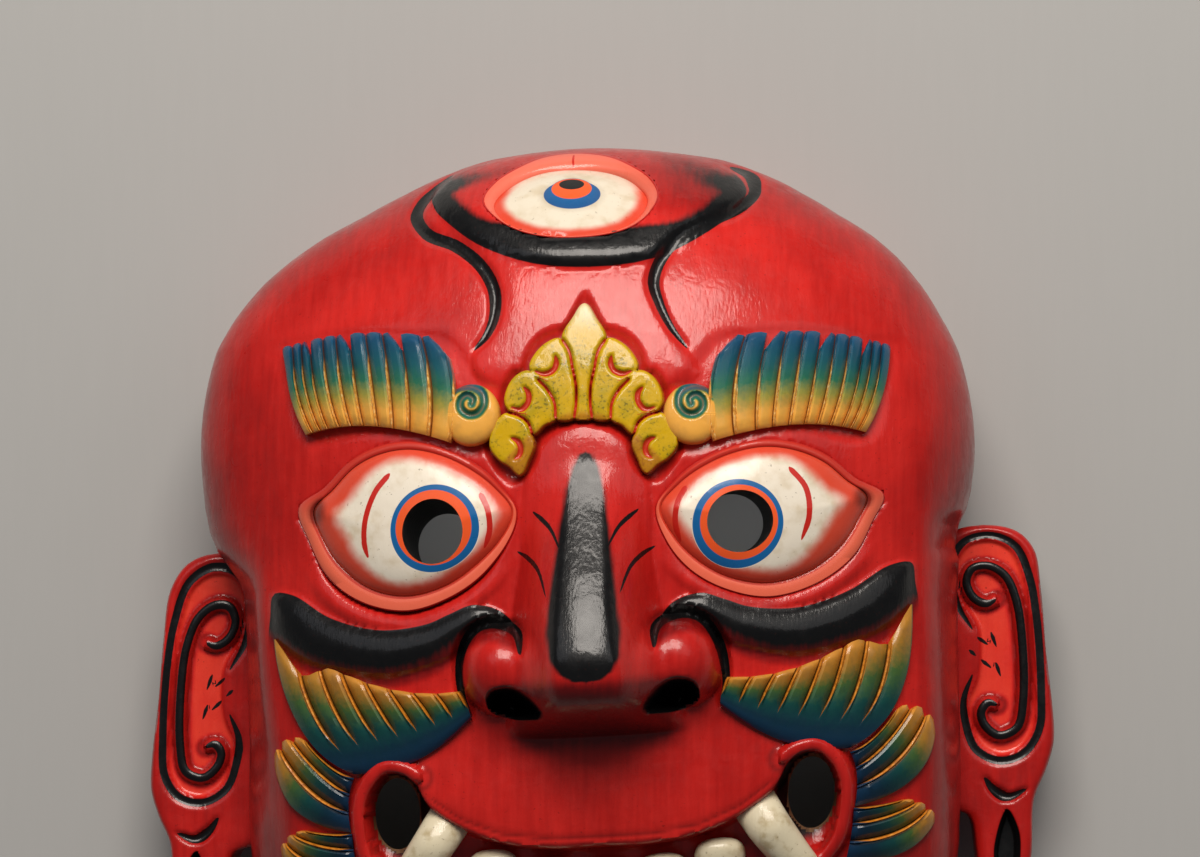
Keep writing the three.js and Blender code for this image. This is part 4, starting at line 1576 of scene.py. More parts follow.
@dataclass
class Ear:
    """One long ear: a flat slab on the head's side with a carved scroll."""

    side: Side
    cells: tuple[int, int] = (52, 190)
    front: float = 38.0
    back: float = 12.0
    outline: Places = (
        (127, 22), (134, 28), (146, 29.8), (157, 26.5), (163.5, 18), (166, 2), (168, -22), (170.5, -44),
        (170.8, -56), (168, -66), (163.5, -77), (162.5, -98), (159, -118), (151, -127), (143.5, -117),
        (142, -96), (139, -82), (127, -76),
    )
    rim: Places = (
        (140.4, -12.2), (134.4, -1.5), (132.4, 13.5), (137.2, 22.8), (146.7, 25.2), (156, 20.3),
        (161.4, 7.5),
        (164.4, -9.8), (166, -36.1), (165.2, -51), (159.6, -59.4), (150.4, -61.8), (141.6, -57),
        (137.6, -46.4),
        (137, -38.2), (140.4, -28.7),
    )
    scroll: Places = (
        (149.4, -1.2), (145.4, -2.6), (140.6, 0), (138, 6), (140.2, 11.4), (146, 12.2),
        (152.3, 8), (156.6, -1.9),
        (158.8, -17), (159.2, -39.5), (157, -49.6), (150.4, -52.3), (144.9, -48.2),
        (143.5, -43.1), (146, -39.8),
        (149.8, -41),
    )
    crescent: Places = ((144.6, -67.6), (148.5, -72.8), (153.5, -75.6), (160.8, -72.8))
    leaf: Places = (
        (153.2, -80), (157.6, -88), (158.2, -98), (156, -110), (152.4, -118), (149.4, -106), (148.4, -94),
    )
    dashes: tuple[Places, ...] = (
        ((141.8, -14.8), (146.4, -18.2)), ((147.2, -13.2), (149.4, -19.2)), ((143.4, -23.4), (147.6, -27)),
        ((149, -24.6), (151, -30.4)), ((139, -19.6), (141.6, -22)),
    )
    edge_round: float = 3.0
    scroll_rise: float = 3.2
    within_depth: float = 2.4
    rim_depth: float = 1.2
    leaf_depth: float = 7.0
    crescent_depth: float = 2.6

    def build(self, paint: Material) -> None:
        """Carves the ear from a slab that follows its outline.

        Args:
            paint: Its paint.
        """
        blank = Blank(f"ear_{self.side.name.lower()}", *self.cells)
        rim = Line(self.outline, closed=True)
        low, high = rim.path[:, 1].min(), rim.path[:, 1].max()
        level = 0.5 - 0.5 * np.cos(math.pi * np.clip(blank.v, 0.0, 1.0))
        y = between(low + 0.02, high - 0.02, between(blank.v, level, 0.45))
        inner, outer = self._edges(rim, y)
        x = between(inner, outer, blank.u)
        inside = np.maximum(rim.inside(x, y, 12.0), 0.0)
        z = self.front - self.edge_round + swell(inside, 4.0, self.edge_round)
        outline = Stroke(Line(self.rim), 1.5, 0.1, 0.1)
        scroll = Stroke(Line(self.scroll), 1.6, 0.08, 0.08)
        within = ease(Line(self.rim, closed=True).inside(x, y, 12.0), 1.5, 3.2)
        ridge, _, along = scroll.line.near(x, y, 6.0)
        z -= within * self.within_depth
        z += np.where((along >= 0.0) & (along <= 1.0), swell(2.6 - ridge, 2.4, self.scroll_rise), 0.0)
        z -= groove(outline, x, y, self.rim_depth)
        leaf = Line(self.leaf, closed=True).inside(x, y, 6.0)
        z -= self.leaf_depth * ease(leaf, -0.2, 2.2)
        crescent = Stroke(Line(self.crescent), 1.9, 0.45, 0.45)
        z -= groove(crescent, x, y, self.crescent_depth)
        blank.carve(self.side.value * x, y, np.where(blank.top, z, self.back))
        brushed = [outline, scroll, crescent, *(Stroke(Line(dash), 0.75, 0.4, 0.6) for dash in self.dashes)]
        signed, half = stroke_marks(brushed, x, y, 0.9)
        # The shade mark paints the ear darker all over and lighter within its rim; the other dark mark is
        # painted shade in the hollows beside the scroll.
        blank.mark(
            stroke=signed, stroke_half=half, band_edge=leaf, band_soft=np.full(x.shape, 1.2),
            shade=0.4 - 1.2 * within * ease(ridge, 3.0, 5.0),
            grime=0.5 * ease(ridge, 4.4, 2.6) * ease(ridge, 1.6, 2.6) * within,
        )
        blank.weld()
        blank.finish(paint, sharp=55.0, on_head=False)

    @staticmethod
    def _edges(rim: Line, y: Values) -> tuple[Values, Values]:
        """The ear's inner and outer edge at each height.

        Args:
            rim: The ear's outline.
            y: The heights.

        Returns:
            The places across of the two edges.
        """
        levels = np.linspace(rim.path[:, 1].min(), rim.path[:, 1].max(), 400)
        inner, outer = np.full(levels.shape, np.inf), np.full(levels.shape, -np.inf)
        for (ax, ay), (bx, by) in zip(rim.path[:-1], rim.path[1:]):
            if ay == by:
                continue
            crossed = (np.minimum(ay, by) <= levels) & (levels <= np.maximum(ay, by))
            x = ax + (bx - ax) * (levels - ay) / (by - ay)
            inner = np.where(crossed, np.minimum(inner, x), inner)
            outer = np.where(crossed, np.maximum(outer, x), outer)
        known = np.isfinite(inner)
        return np.interp(y, levels[known], inner[known]), np.interp(y, levels[known], outer[known])


@dataclass
class Face:
    """The hollowed head with everything that is carved in its skin: boss, nose, cheeks, lips and chin."""

    crown: Crown
    brows: tuple[Brow, Brow]
    eye: Eye
    third_eye: ThirdEye
    cells: int = 276
    hollow_cells: int = 72
    hollow_foot: float = -12.0
    nose_top: float = 60.0
    nose_tip: float = -17.0
    nose_bottom: float = -42.0
    nose_reach: float = 40.0
    boss_edge: Places = (
        (-60, 158), (-58, 150), (-50, 141.5), (-39.1, 133.8), (-20.7, 126.9), (0.8, 125.2), (22.1, 128.2),
        (39.7, 137.1), (51, 147), (54.5, 156), (46, 164.5), (30, 171), (0, 174), (-30, 171), (-50, 165.5),
    )
    scroll_right: Places = (
        (44.4, 166.7), (53.6, 162.6), (57.4, 155.9), (53.8, 149.4), (43.2, 143), (32.6, 137), (25.7, 128.2),
        (23.3, 120), (25.2, 112.7), (29.5, 103.6), (35.6, 95.6),
    )
    scroll_left: Places = (
        (-53, 164.5), (-61.7, 155), (-64.1, 147.5), (-59.9, 139.6), (-48.3, 134.1), (-38.8, 126.2),
        (-33.7, 116.8), (-33.4, 107.6), (-36.1, 100.4), (-40.6, 95.2),
    )
    neck: Places = (
        (-34, 124), (-33.5, 108), (-40, 96), (-40, 86), (0, 80), (40, 86), (35, 96.5), (25.3, 112.7),
        (23.5, 121), (30, 134), (0, 140), (-42, 130),
    )
    cheek: Places = (
        (23.6, -9), (25.4, -2), (30.5, 4), (40.2, 6.8), (49, 4), (57.6, 0.9), (75.2, -0.2), (93.1, 5),
        (107.6, 13.6), (115.6, 14.3), (116.5, 7), (115.4, 0.1), (106.8, -8.4), (95.7, -13.1), (73.9, -17.2),
        (60, -15), (49.8, -11.5), (44, -7), (36, -4), (28, -6),
    )
    black: Places = (
        (23.6, -11), (25.4, -2), (30.5, 4), (40.2, 6.8), (49, 4), (57.6, 0.9), (75.2, -0.2), (93.1, 5),
        (107.6, 13.6), (115.6, 14.3), (117, 7), (117.4, -3), (108, -12.4), (96, -17.1), (74, -21.2),
        (60, -19), (49.8, -14.5), (42, -9), (34, -7), (28, -9),
    )
    cheek_foot: Places = (
        (119, -6), (108, -13.4), (96, -18.1), (74, -22), (58, -19.4), (46, -14), (38, -9), (28, -9.8),
        (22, -13),
    )
    wing_cut: Places = (
        (23.4, -11.9), (24.7, -3.8), (33, -0.1), (39.9, -1.8), (45.6, -10.3), (47.1, -24.5), (44.2, -33.2),
    )
    nostril: Places = (
        (17.7, -33.2), (21.9, -26.8), (29.4, -22.6), (36.2, -24.6), (36.6, -30.6), (26.4, -34.2),
    )
    nose_lines: tuple[Places, ...] = (
        ((19, 38.2), (15.4, 35.2), (12, 31.6), (8, 23.6)),
        ((24.6, 24.6), (20.4, 22), (16.4, 17.6), (12.8, 7.8)),
    )
    lip_edge: Places = ((0, -81), (17.7, -81), (35.5, -78.3), (49.7, -72.6), (62.1, -63.7), (67.5, -54.8))
    mouth_foot: Places = ((84.5, -84), (76, -90), (66, -99), (50, -106), (26, -111.5), (0, -113))
    ring: Places = (
        (64.5, -53.5), (70.5, -50), (77.5, -49.2), (84.2, -55), (87.4, -63), (87.2, -74), (84.4, -84),
        (78, -92), (70, -99),
    )
    mouth_hole: Pair = (75.5, -67.0)
    mouth_bore: Pair = (7.5, 11.2)
    funnel: Pair = (11.0, 17.0)
    eye_spare: float = 2.2
    stripe: tuple[Pair, ...] = (
        (-23, -3), (-21.5, 6), (-19, 10), (-14, 13), (-5, 13.8), (25, 10.4), (45, 7.6), (53, 5.4),
        (57.5, 3), (60, -2),
    )
    boss_rise: float = 5.0
    boss_slope: float = 13.0
    neck_rise: float = 1.4
    scroll_depth: float = 2.8
    socket_depth: float = 14.0
    brow_sink: float = 1.1
    fold_rise: float = 1.3
    fold_width: float = 6.4
    cheek_rise: float = 4.8
    wing_rise: float = 19.0
    arch_rise: float = 4.2
    lip_rise: float = 5.6
    lip_line_up: float = 3.4
    comma_depth: float = 3.4
    nostril_depth: float = 17.0
    eye_depth: float = 5.0
    mouth_depth: float = 8.0
    funnel_depth: float = 14.0
    ring_half: float = 3.1
    ring_rise: float = 4.6
    lower_lip_half: float = 8.5
    lower_lip_rise: float = 7.2
    chin_reach: Pair = (40.0, 22.0)
    chin_y: float = -143.0
    chin_rise: float = 8.0
    cleft: float = 1.6
    wall_from: Pair = (0.985, 0.95)
    flat_share: float = 0.78
    square: Pair = (124.0, 152.0)

    def __post_init__(self) -> None:
        """Draws the lines of the face."""
        corner = [(72, -51.5), (79.5, -52), (84.6, -58.5), (86, -68), (85, -77)]
        self.mouth = Line(both_halves([*self.lip_edge, *corner, *self.mouth_foot]), closed=True)
        self.boss_line = Line(self.boss_edge, closed=True)
        self.cheek_line = Line(self.cheek, closed=True)
        self.eye_line = Line(self.eye.outer, closed=True)
        self.scrolls = [
            Stroke(Line(self.scroll_right), 2.1, 0.12, 0.3), Stroke(Line(self.scroll_left), 2.3, 0.12, 0.3)
        ]
        self.black_line = Line(self.black, closed=True)
        self.commas = [Stroke(Line(mirrored(self.wing_cut, side)), 1.8, 0.15, 0.3) for side in Side]
        lines = [mirrored(points, side) for side in Side for points in self.nose_lines]
        self.lines = [Stroke(Line(line), 0.8, 0.3, 0.5) for line in lines]

    def boss(self, x: Values, y: Values) -> Values:
        """The raised boss of the third eye."""
        return swell(self.boss_line.inside(x, y, 16.0), self.boss_slope, self.boss_rise)

    def _nose(self, ax: Values, y: Values) -> Values:
        """The nose's wedge, its wings and the arch between the eyes.

        Args:
            ax, y: Places out from the middle and up.

        Returns:
            The height at each place.
        """
        down = np.clip((self.nose_top - y) / (self.nose_top - self.nose_tip), 0.0, 1.0)
        straight = 1.0 - np.sqrt((1.0 - down) ** 2 + 0.05**2) + 0.05 * down
        above = self.nose_reach * (0.7 * straight + 0.3 * ease(y, self.nose_top, self.nose_tip))
        under = ease(y, self.nose_tip, self.nose_bottom)
        below = self.nose_reach * np.sqrt(1.0 - under**2)
        share = np.clip((self.nose_top - y) / (self.nose_top - self.nose_bottom), 0.0, 1.0)
        flat, foot = between(4.5, 11.0, share), between(17.0, 34.0, share)
        fall = np.clip((ax - flat) / (foot - flat), 0.0, 1.0)
        crown = 1.0 - 0.035 * np.clip(ax / flat, 0.0, 1.0) ** 2
        wedge = np.where(y >= self.nose_tip, above, below) * (1.0 - fall**1.35) * crown
        wing = np.clip(1.0 - ((ax - 31.0) / 15.8) ** 2 - ((y + 17.0) / 16.8) ** 2, 0.0, 1.0) ** 0.6
        up = np.clip((y - 38.0) / 32.5, 0.0, None)
        arch = np.sqrt(np.clip(1.0 - (ax / 23.0) ** 2 - up**2, 0.0, 1.0)) * ease(y, -10.0, 35.0)
        return merged(wedge, self.wing_rise * wing, self.arch_rise * arch, power=2.4)

    def _lip(self, ax: Values, y: Values) -> Values:
        """The swelling of the upper lip above its edge.

        Args:
            ax, y: Places out from the middle and up.

        Returns:
            The height at each place.
        """
        edge = self._lip_edge(ax)
        top = -44.0 + 4.0 * (ax / 46.0) ** 2 - 10.0 * ease(ax, 46.0, 67.0)
        t = (top - y) / np.maximum(top - edge, 1.0)
        body = ease(t, -0.15, 0.95) * (1.0 - 0.5 * np.clip(ax / 66.5, 0.0, 1.0) ** 4)
        return self.lip_rise * body * ease(t, 1.3, 1.02) * ease(ax, 69.0, 63.0)

    def _lip_edge(self, ax: Values) -> Values:
        """How high the upper lip's edge lies at each place out from the middle."""
        return np.interp(ax, *np.array(self.lip_edge, float).T)

    def _forehead(self, x: Values, y: Values) -> Values:
        """The boss with its scrolls, and the hollows of the third eye, the crown and the brows.

        Args:
            x, y: Places across and up.

        Returns:
            The height at each place.
        """
        neck = Line(self.neck, closed=True).inside(x, y, 10.0)
        raised = self.boss(x, y) + swell(neck, 8.0, self.neck_rise) * ease(y, 138.0, 128.0)
        for scroll in self.scrolls:
            raised -= groove(scroll, x, y, self.scroll_depth)
        raised -= self.socket_depth * ease(self.third_eye.edge().inside(x, y, 6.0), 0.5, 1.8)
        beside = x - self.crown.off_middle
        past_leaf = np.clip(-self.crown.leaf(beside, y, 16.0), 0.0, None)
        hollow = self.crown.hollow.inside(beside, y, 16.0)
        way = past_leaf / np.maximum(past_leaf + np.clip(hollow, 0.0, None), 1e-6)
        raised -= np.where(hollow > 0.0, self.crown.hollow_depth * (1.0 - way**2.2), 0.0)
        for brow in self.brows:
            raised -= self.brow_sink * ease(brow.outline().inside(x, y, 7.0), -4.5, 0.4)
        return raised

    def relief(self, x: Values, y: Values) -> Values:
        """How far the carving stands over the bare head.

        Args:
            x, y: Places across and up.

        Returns:
            The height at each place.
        """
        ax = np.abs(x)
        raised = self._forehead(x, y)
        lid = self.eye_line.inside(ax, y, 12.0)
        fold = np.clip(-lid / self.fold_width, 0.0, 1.0)
        raised += self.fold_rise * np.sin(math.pi * fold) * ease(y, 26.0, 8.0)
        cheek = swell(self.cheek_line.inside(ax, y, 12.0), 14.0, self.cheek_rise)
        raised = set_on(raised, self._nose(ax, y), cheek)
        raised = set_on(raised, self._lip(ax, y))
        for cut in self.commas:
            raised -= groove(cut, x, y, self.comma_depth, 1.1)
        nostril = Line(self.nostril, closed=True).inside(ax, y, 6.0)
        raised -= self.nostril_depth * ease(nostril, -0.4, 3.0)
        raised -= self.eye_depth * ease(lid, 0.3, 2.0)
        over = y - self._lip_edge(ax) - self.lip_line_up
        raised -= 0.4 * np.exp(-((over / 0.8) ** 2)) * ease(ax, 64.0, 58.0)
        return self._mouth(x, y, raised)

    def _mouth(self, x: Values, y: Values, raised: Values) -> Values:
        """The mouth's hollow, its funnel to each side, the ring round it, the lower lip and the chin.

        Args:
            x, y: Places across and up.
            raised: The height of the carving round the mouth.

        Returns:
            The height at each place.
        """
        ax = np.abs(x)
        hole_x, hole_y = self.mouth_hole
        out = np.hypot((ax - hole_x) / self.funnel[0], (y - hole_y) / self.funnel[1])
        floor = -self.mouth_depth - self.funnel_depth * np.clip(1.4 - out, 0.0, 1.0) ** 0.8
        raised = between(raised, floor, ease(self.mouth.inside(x, y, 8.0), -0.6, 1.8))
        ring, _, along = Line(self.ring).near(ax, y, 9.0)
        keep = ((along >= 0.0) & (along <= 1.0) & (ring < self.ring_half)) | (ring < 1.0)
        rim = swell(self.ring_half - ring, 2.4, self.ring_rise) - 0.1
        raised = np.where(keep, np.maximum(raised, rim), raised)
        foot = [(across, up - 6.0) for across, up in self.mouth_foot[1:]]
        roll = Line([*foot, *[(-across, up) for across, up in reversed(foot[:-1])]]).near(x, y, 12.0)[0]
        lip = swell(self.lower_lip_half - roll, self.lower_lip_half, self.lower_lip_rise)
        raised = np.where(roll < self.lower_lip_half, np.maximum(raised, lip), raised)
        chin_out = (x / self.chin_reach[0]) ** 2 + ((y - self.chin_y) / self.chin_reach[1]) ** 2
        chin = self.chin_rise * np.sqrt(np.clip(1.0 - chin_out, 0.0, 1.0))
        cleft = self.cleft * np.exp(-((x / 2.6) ** 2)) * ease(chin, 3.0, 7.0)
        return np.where(chin > 0.0, merged(np.clip(raised, 0.0, None), chin) - cleft, raised)

    def _bands(self, x: Values, y: Values) -> tuple[Values, Values]:
        """The black bands: round the boss, on the cheeks, down the nose and in the nostrils, and the black
        in the mouth's funnels, which darkens towards the bores as painted shade.

        Args:
            x, y: Places across and up.

        Returns:
            How far in from the nearest band's edge each place is, and how thinly it is brushed.
        """
        ax = np.abs(x)
        boss = self.boss_line.inside(x, y, 20.0)
        under = ease(np.abs(x + 5.0), 46.0, 18.0) * ease(y, 146.0, 138.0)
        boss_soft = 1.25 * ease(boss - 6.0 * under, 12.0, 4.0) * ease(y, 168.0, 156.0)
        cheek = self.black_line.inside(ax, y, 20.0)
        cheek_soft = 1.25 * ease(Line(self.cheek_foot).near(ax, y, 20.0)[0], 1.0, 14.0)
        nostril = Line(self.nostril, closed=True).inside(ax, y, 6.0)
        stripe = step_in(self.stripe, y) - ax
        # Black in the mouth's funnels, deepening towards the bores: painted shade.
        hole_x, hole_y = self.mouth_hole
        out = np.hypot((ax - hole_x + 3.0) / self.funnel[0], (y - hole_y) / self.funnel[1])
        mouth = np.minimum(8.0 * (1.45 - out), self.mouth.inside(x, y, 12.0) + 0.5)
        edges = [boss, cheek, np.minimum(stripe + 1.4, 9.0), nostril + 0.6, mouth]
        softs = [
            boss_soft, cheek_soft, 1.2 * ease(stripe, -1.2, 3.6), np.full(x.shape, 1.3),
            1.25 * ease(out, 1.2, 0.65),
        ]
        return np.max(edges, axis=0), np.choose(np.argmax(edges, axis=0), softs)

    def _shade(self, x: Values, y: Values) -> Values:
        """Where the red is painted darker: painted shade on the head's sides and lower face, under the nose
        and at the boss's upper corner, and dark red where the cheeks' black fades out.

        Args:
            x, y: Places across and up.

        Returns:
            How dark each place is, 1 for wine red.
        """
        ax = np.abs(x)
        sides = 0.5 * ease(HEAD.share(x, y), 0.72, 1.0) + 0.22 * ease(y, 88.0, 50.0)
        under_nose = 1.1 * ease(y, -19.0, -25.0) * ease(y, -50.0, -42.0) * ease(ax, 34.0, 24.0)
        boss = self.boss_line.inside(x, y, 20.0)
        corner = 0.7 * ease(x, 12.0, 34.0) * ease(y, 138.0, 152.0) * ease(boss, 0.0, 4.0)
        cheek = ease(self.black_line.inside(ax, y, 20.0), -1.0, 2.0)
        foot = 0.9 * ease(Line(self.cheek_foot).near(ax, y, 20.0)[0], 13.0, 6.0)
        return sides + under_nose + corner + foot * cheek

    def _grime(self, x: Values, y: Values) -> Values:
        """Where painted shade darkens the red: in the folds under the eyes, along the lip, round the ring's
        foot, deep in the mouth and round the crown's foot.

        Args:
            x, y: Places across and up.

        Returns:
            How much painted shade each place has, up to 1.
        """
        ax = np.abs(x)
        lid = self.eye_line.inside(ax, y, 12.0)
        crease = np.exp(-(((-lid - 6.7) / 0.7) ** 2)) * ease(y, 14.0, 5.0)
        crease *= ease(ax, 44.0, 52.0) * ease(ax, 92.0, 82.0)
        over = y - self._lip_edge(ax) - self.lip_line_up
        lip_line = np.exp(-((over / 0.5) ** 2)) * ease(ax, 64.0, 58.0)
        within = self.mouth.inside(x, y, 12.0)
        ring = Line(self.ring).near(ax, y, 9.0)[0]
        ring_foot = np.exp(-((ring - 4.2) ** 2)) * (within < 0.0) * ease(y, -45.0, -52.0)
        leaf = self.crown.leaf(x - self.crown.off_middle, y, 6.0)
        crown_foot = np.exp(-((leaf + 0.6) ** 2))
        inner = ease(within, 4.0, 9.0)
        # All of these are painted shade where the carving's folds and hollows fall dark.
        shadings = [0.9 * crease, 0.6 * lip_line, 0.55 * ring_foot, 0.6 * inner, 0.5 * crown_foot]
        return np.clip(np.max(shadings, axis=0), 0.0, 1.0)

    def marks(self, x: Values, y: Values) -> dict[str, Values]:
        """What the paint follows: brush strokes, bands, painted shade on the red, and painted shade in the
        cuts and hollows.

        Args:
            x, y: Places across and up.

        Returns:
            The values at each place, by the name that the paint reads.
        """
        signed, half = stroke_marks([*self.scrolls, *self.commas, *self.lines], x, y)
        edge, soft = self._bands(x, y)
        return {
            "stroke": signed, "stroke_half": half, "band_edge": edge, "band_soft": soft,
            "shade": self._shade(x, y), "grime": self._grime(x, y),
        }

    def _spread(self, blank: Blank, inset: float, foot: float) -> tuple[Values, Values, Values]:
        """Spreads a square grid over the head's outline.

        Args:
            blank: The grid.
            inset: How far in from the head's edge it is drawn.
            foot: The height at which its side walls end.

        Returns:
            The places, without what is carved on them.
        """
        a, b = 2.0 * blank.u - 1.0, 2.0 * blank.v - 1.0
        ring = np.maximum(np.abs(a), np.abs(b))
        wall_from = self.wall_from[0 if inset == 0.0 else 1]
        size = np.minimum(ring / wall_from, 1.0)
        past = np.clip((size - self.flat_share) / (1.0 - self.flat_share), 0.0, 1.0)
        close = between(self.flat_share, 1.0, np.sin(0.5 * math.pi * past))
        bent = np.where(size < self.flat_share, size, close)
        safe = np.maximum(ring, 1e-9)
        sx, sy = a / safe * self.square[0], b / safe * self.square[1]
        scale = 1.0 / HEAD.share(sx, sy, inset)
        rim_x, rim_y = sx * scale, HEAD.widest + (sy - HEAD.widest) * scale
        x = between(sx, rim_x, bent**3) * bent
        y = between(sy, rim_y, bent**3) * bent
        wall = np.clip((ring - wall_from) / (1.0 - wall_from), 0.0, 1.0)
        z = np.where(ring > wall_from, between(HEAD.side_depth, foot, wall), HEAD.skin(x, y, inset))
        return x, y, z

    def build(self, lacquer: Material, wood: Material, soot: Material) -> None:
        """Carves the head, hollows it, bores the eyes and the mouth, and marks its paint.

        Args:
            lacquer: The red paint of the face.
            wood: The bare wood of the hollow.
            soot: The black of the bores.
        """
        blank = Blank("face", self.cells, self.cells, slab=False)
        x, y, z = self._spread(blank, 0.0, 0.0)
        on_top = HEAD.share(x, y) < 0.9995
        relief = np.zeros(x.shape)
        relief[on_top] = self.relief(x[on_top], y[on_top])
        blank.carve(x, y, z + relief)
        self._close(blank)
        hollow = Blank("hollow", self.hollow_cells, self.hollow_cells, slab=False)
        hollow.carve(*self._spread(hollow, HEAD.wall, self.hollow_foot))
        self._close(hollow)
        cutters = [hollow.object]
        eye_bore = (self.eye.hole_radius + self.eye_spare, self.eye.hole_radius + self.eye_spare)
        for side in Side:
            cutters.append(self._bore(side, self.eye.hole, eye_bore, 92.0))
            cutters.append(self._bore(side, self.mouth_hole, self.mouth_bore, 84.0))
        for cutter in cutters:
            self._cut(blank.object, cutter)
        blank.object.data.materials.clear()
        place = blank.places()
        blank.mark(**self.marks(place[:, 0], place[:, 1]))
        self._sort_faces(blank)
        blank.finish(lacquer, wood, soot, sharp=58.0)

    def _close(self, blank: Blank) -> None:
        """Welds a spread grid and closes its foot with one flat face.

        Args:
            blank: The grid.
        """
        blank.weld()
        bpy.context.view_layer.objects.active = blank.object
        bpy.ops.object.mode_set(mode="EDIT")
        bpy.context.tool_settings.mesh_select_mode = (False, True, False)
        bpy.ops.mesh.select_all(action="DESELECT")
        bpy.ops.mesh.select_non_manifold(
            extend=False, use_wire=False, use_multi_face=False, use_non_contiguous=False, use_verts=False
        )
        bpy.ops.mesh.edge_face_add()
        bpy.ops.mesh.select_all(action="SELECT")
        bpy.ops.mesh.normals_make_consistent(inside=False)
        bpy.context.tool_settings.mesh_select_mode = (True, False, False)
        bpy.ops.object.mode_set(mode="OBJECT")

    @staticmethod
    def _bore(
        side: Side, at: Pair, radii: Pair, height: float
    ) -> bpy.types.Object:
        """A straight cutter through the wall of the mask.

        Args:
            side: The side of the face.
            at: Its middle, drawn for the viewer's right.
            radii: Its half-width and half-height.
            height: How far over the rim its middle lies.

        Returns:
            The cutter.
        """
        bpy.ops.object.select_all(action="DESELECT")
        place = (side.value * at[0], at[1], height)
        bpy.ops.mesh.primitive_cylinder_add(vertices=40, radius=1.0, depth=90.0, location=place)
        cutter = bpy.context.object
        cutter.scale = (radii[0], radii[1], 1.0)
        bpy.ops.object.transform_apply(location=True, rotation=True, scale=True)
        return cutter

    @staticmethod
    def _cut(body: bpy.types.Object, cutter: bpy.types.Object) -> None:
        """Cuts one closed mesh out of another.

        Args:
            body: The mesh that is cut.
            cutter: The mesh that is cut out of it and deleted.
        """
        modifier = body.modifiers.new("cut", "BOOLEAN")
        modifier.operation = "DIFFERENCE"
        modifier.object = cutter
        modifier.solver = "MANIFOLD"
        bpy.ops.object.select_all(action="DESELECT")
        bpy.context.view_layer.objects.active = body
        body.select_set(True)
        bpy.ops.object.modifier_apply(modifier=modifier.name)
        bpy.data.objects.remove(cutter, do_unlink=True)

    def _sort_faces(self, blank: Blank) -> None:
        """Gives the hollow its bare wood and the bores their black.

        Args:
            blank: The face.
        """
        mesh = blank.object.data
        count = len(mesh.polygons)
        centre = np.empty(count * 3, np.float32)
        mesh.polygons.foreach_get("center", centre)
        x, y, z = centre.reshape(-1, 3).astype(float).T
        inset = HEAD.wall - 0.6
        within = (HEAD.share(x, y, inset) < 1.0) & (z < HEAD.skin(x, y, inset) + 0.2)
        index = np.where(within | (z < 0.3), 1, 0)
        for (hx, hy), (rx, ry) in ((self.eye.hole, (14.2, 14.2)), (self.mouth_hole, (7.9, 11.6))):
            bored = np.hypot((np.abs(x) - hx) / rx, (y - hy) / ry) < 1.0
            index = np.where(bored & ~within, 2, index)
        mesh.polygons.foreach_set("material_index", index.astype(np.int32))


@dataclass
class Teeth:
    """The fangs that curl over the mouth's corners, and the rows of teeth between them."""

    fang: Places = ((49, -60), (54.5, -69), (61, -79), (70.5, -91), (84.5, -104))
    fang_radius: float = 8.2
    fang_cells: tuple[int, int] = (28, 30)
    tooth_cells: tuple[int, int] = (28, 16)
    pitch: float = 20.4
    upper: Pair = (-87.0, -100.5)
    lower: Pair = (-100.5, -112.0)
    bow: float = 9.0
    off_middle: float = 1.5
    across: int = 5
    fill: float = 0.9
    square: float = 2.6
    reach: float = 51.0

    def build(self, paint: Material) -> None:
        """Carves two fangs and two rows of five teeth.

        Args:
            paint: Its paint.
        """
        for side in Side:
            self._fang(side, paint)
        for label, (top, bottom) in (("upper", self.upper), ("lower", self.lower)):
            for number in range(self.across):
                x = self.pitch * (number - self.across // 2)
                self._tooth(f"tooth_{label}_{number + 1}", x, top, bottom, paint)

    def _fang(self, side: Side, paint: Material) -> None:
        """One fang: a bent horn, round in front, that ends in a blunt point.

        Args:
            side: The side of the face.
            paint: Its paint.
        """
        blank = Blank(f"fang_{side.name.lower()}", *self.fang_cells, slab=False)
        line = Line(self.fang, steps=12)
        t = np.clip(blank.v, 0.0, 1.0)
        steps = np.linspace(0.0, 1.0, len(line.path))
        mx, my = np.interp(t, steps, line.path[:, 0]), np.interp(t, steps, line.path[:, 1])
        slope = np.gradient(line.path, axis=0)
        tx, ty = np.interp(t, steps, slope[:, 0]), np.interp(t, steps, slope[:, 1])
        length = np.hypot(tx, ty)
        tx, ty = tx / length, ty / length
        radius = self.fang_radius * np.sqrt(np.clip(1.0 - t**3.2, 0.0, 1.0) * np.clip(t / 0.05, 0.0, 1.0))
        angle = blank.u * 2.0 * math.pi
        across, up = radius * np.cos(angle), radius * np.sin(angle)
        x, y = mx - ty * across, my + tx * across
        z = HEAD.skin(mx, my) - 11.0 + 14.0 * ease(t, 0.0, 0.55) + 1.0 * ease(t, 0.5, 0.9) + up * 0.85
        blank.carve(side.value * x, y, z)
        blank.weld()
        blank.finish(paint, sharp=80.0)

    def _tooth(self, name: str, x: float, top: float, bottom: float, paint: Material) -> None:
        """One tooth: a rounded block.

        Args:
            name: Its name.
            x: Its middle across.
            top: Its top.
            bottom: Its bottom.
            paint: Its paint.
        """
        blank = Blank(name, *self.tooth_cells, slab=False)
        lift = self.bow * (x / self.reach) ** 2
        angle, polar = blank.u * 2.0 * math.pi, blank.v * math.pi
        ring = np.sin(polar)
        cx, cy = np.cos(angle), np.sin(angle)
        stretch = (np.abs(cx) ** self.square + np.abs(cy) ** self.square) ** (-1.0 / self.square) * ring**0.7
        px = x + 0.5 * self.pitch * self.fill * cx * stretch
        py = (top + bottom) / 2.0 + lift + 0.52 * (top - bottom) * cy * stretch
        z = HEAD.skin(px, py) - 4.5 + 6.2 * np.cos(polar)
        blank.carve(px + self.off_middle, py, z)
        blank.weld()
        blank.finish(paint, sharp=80.0)


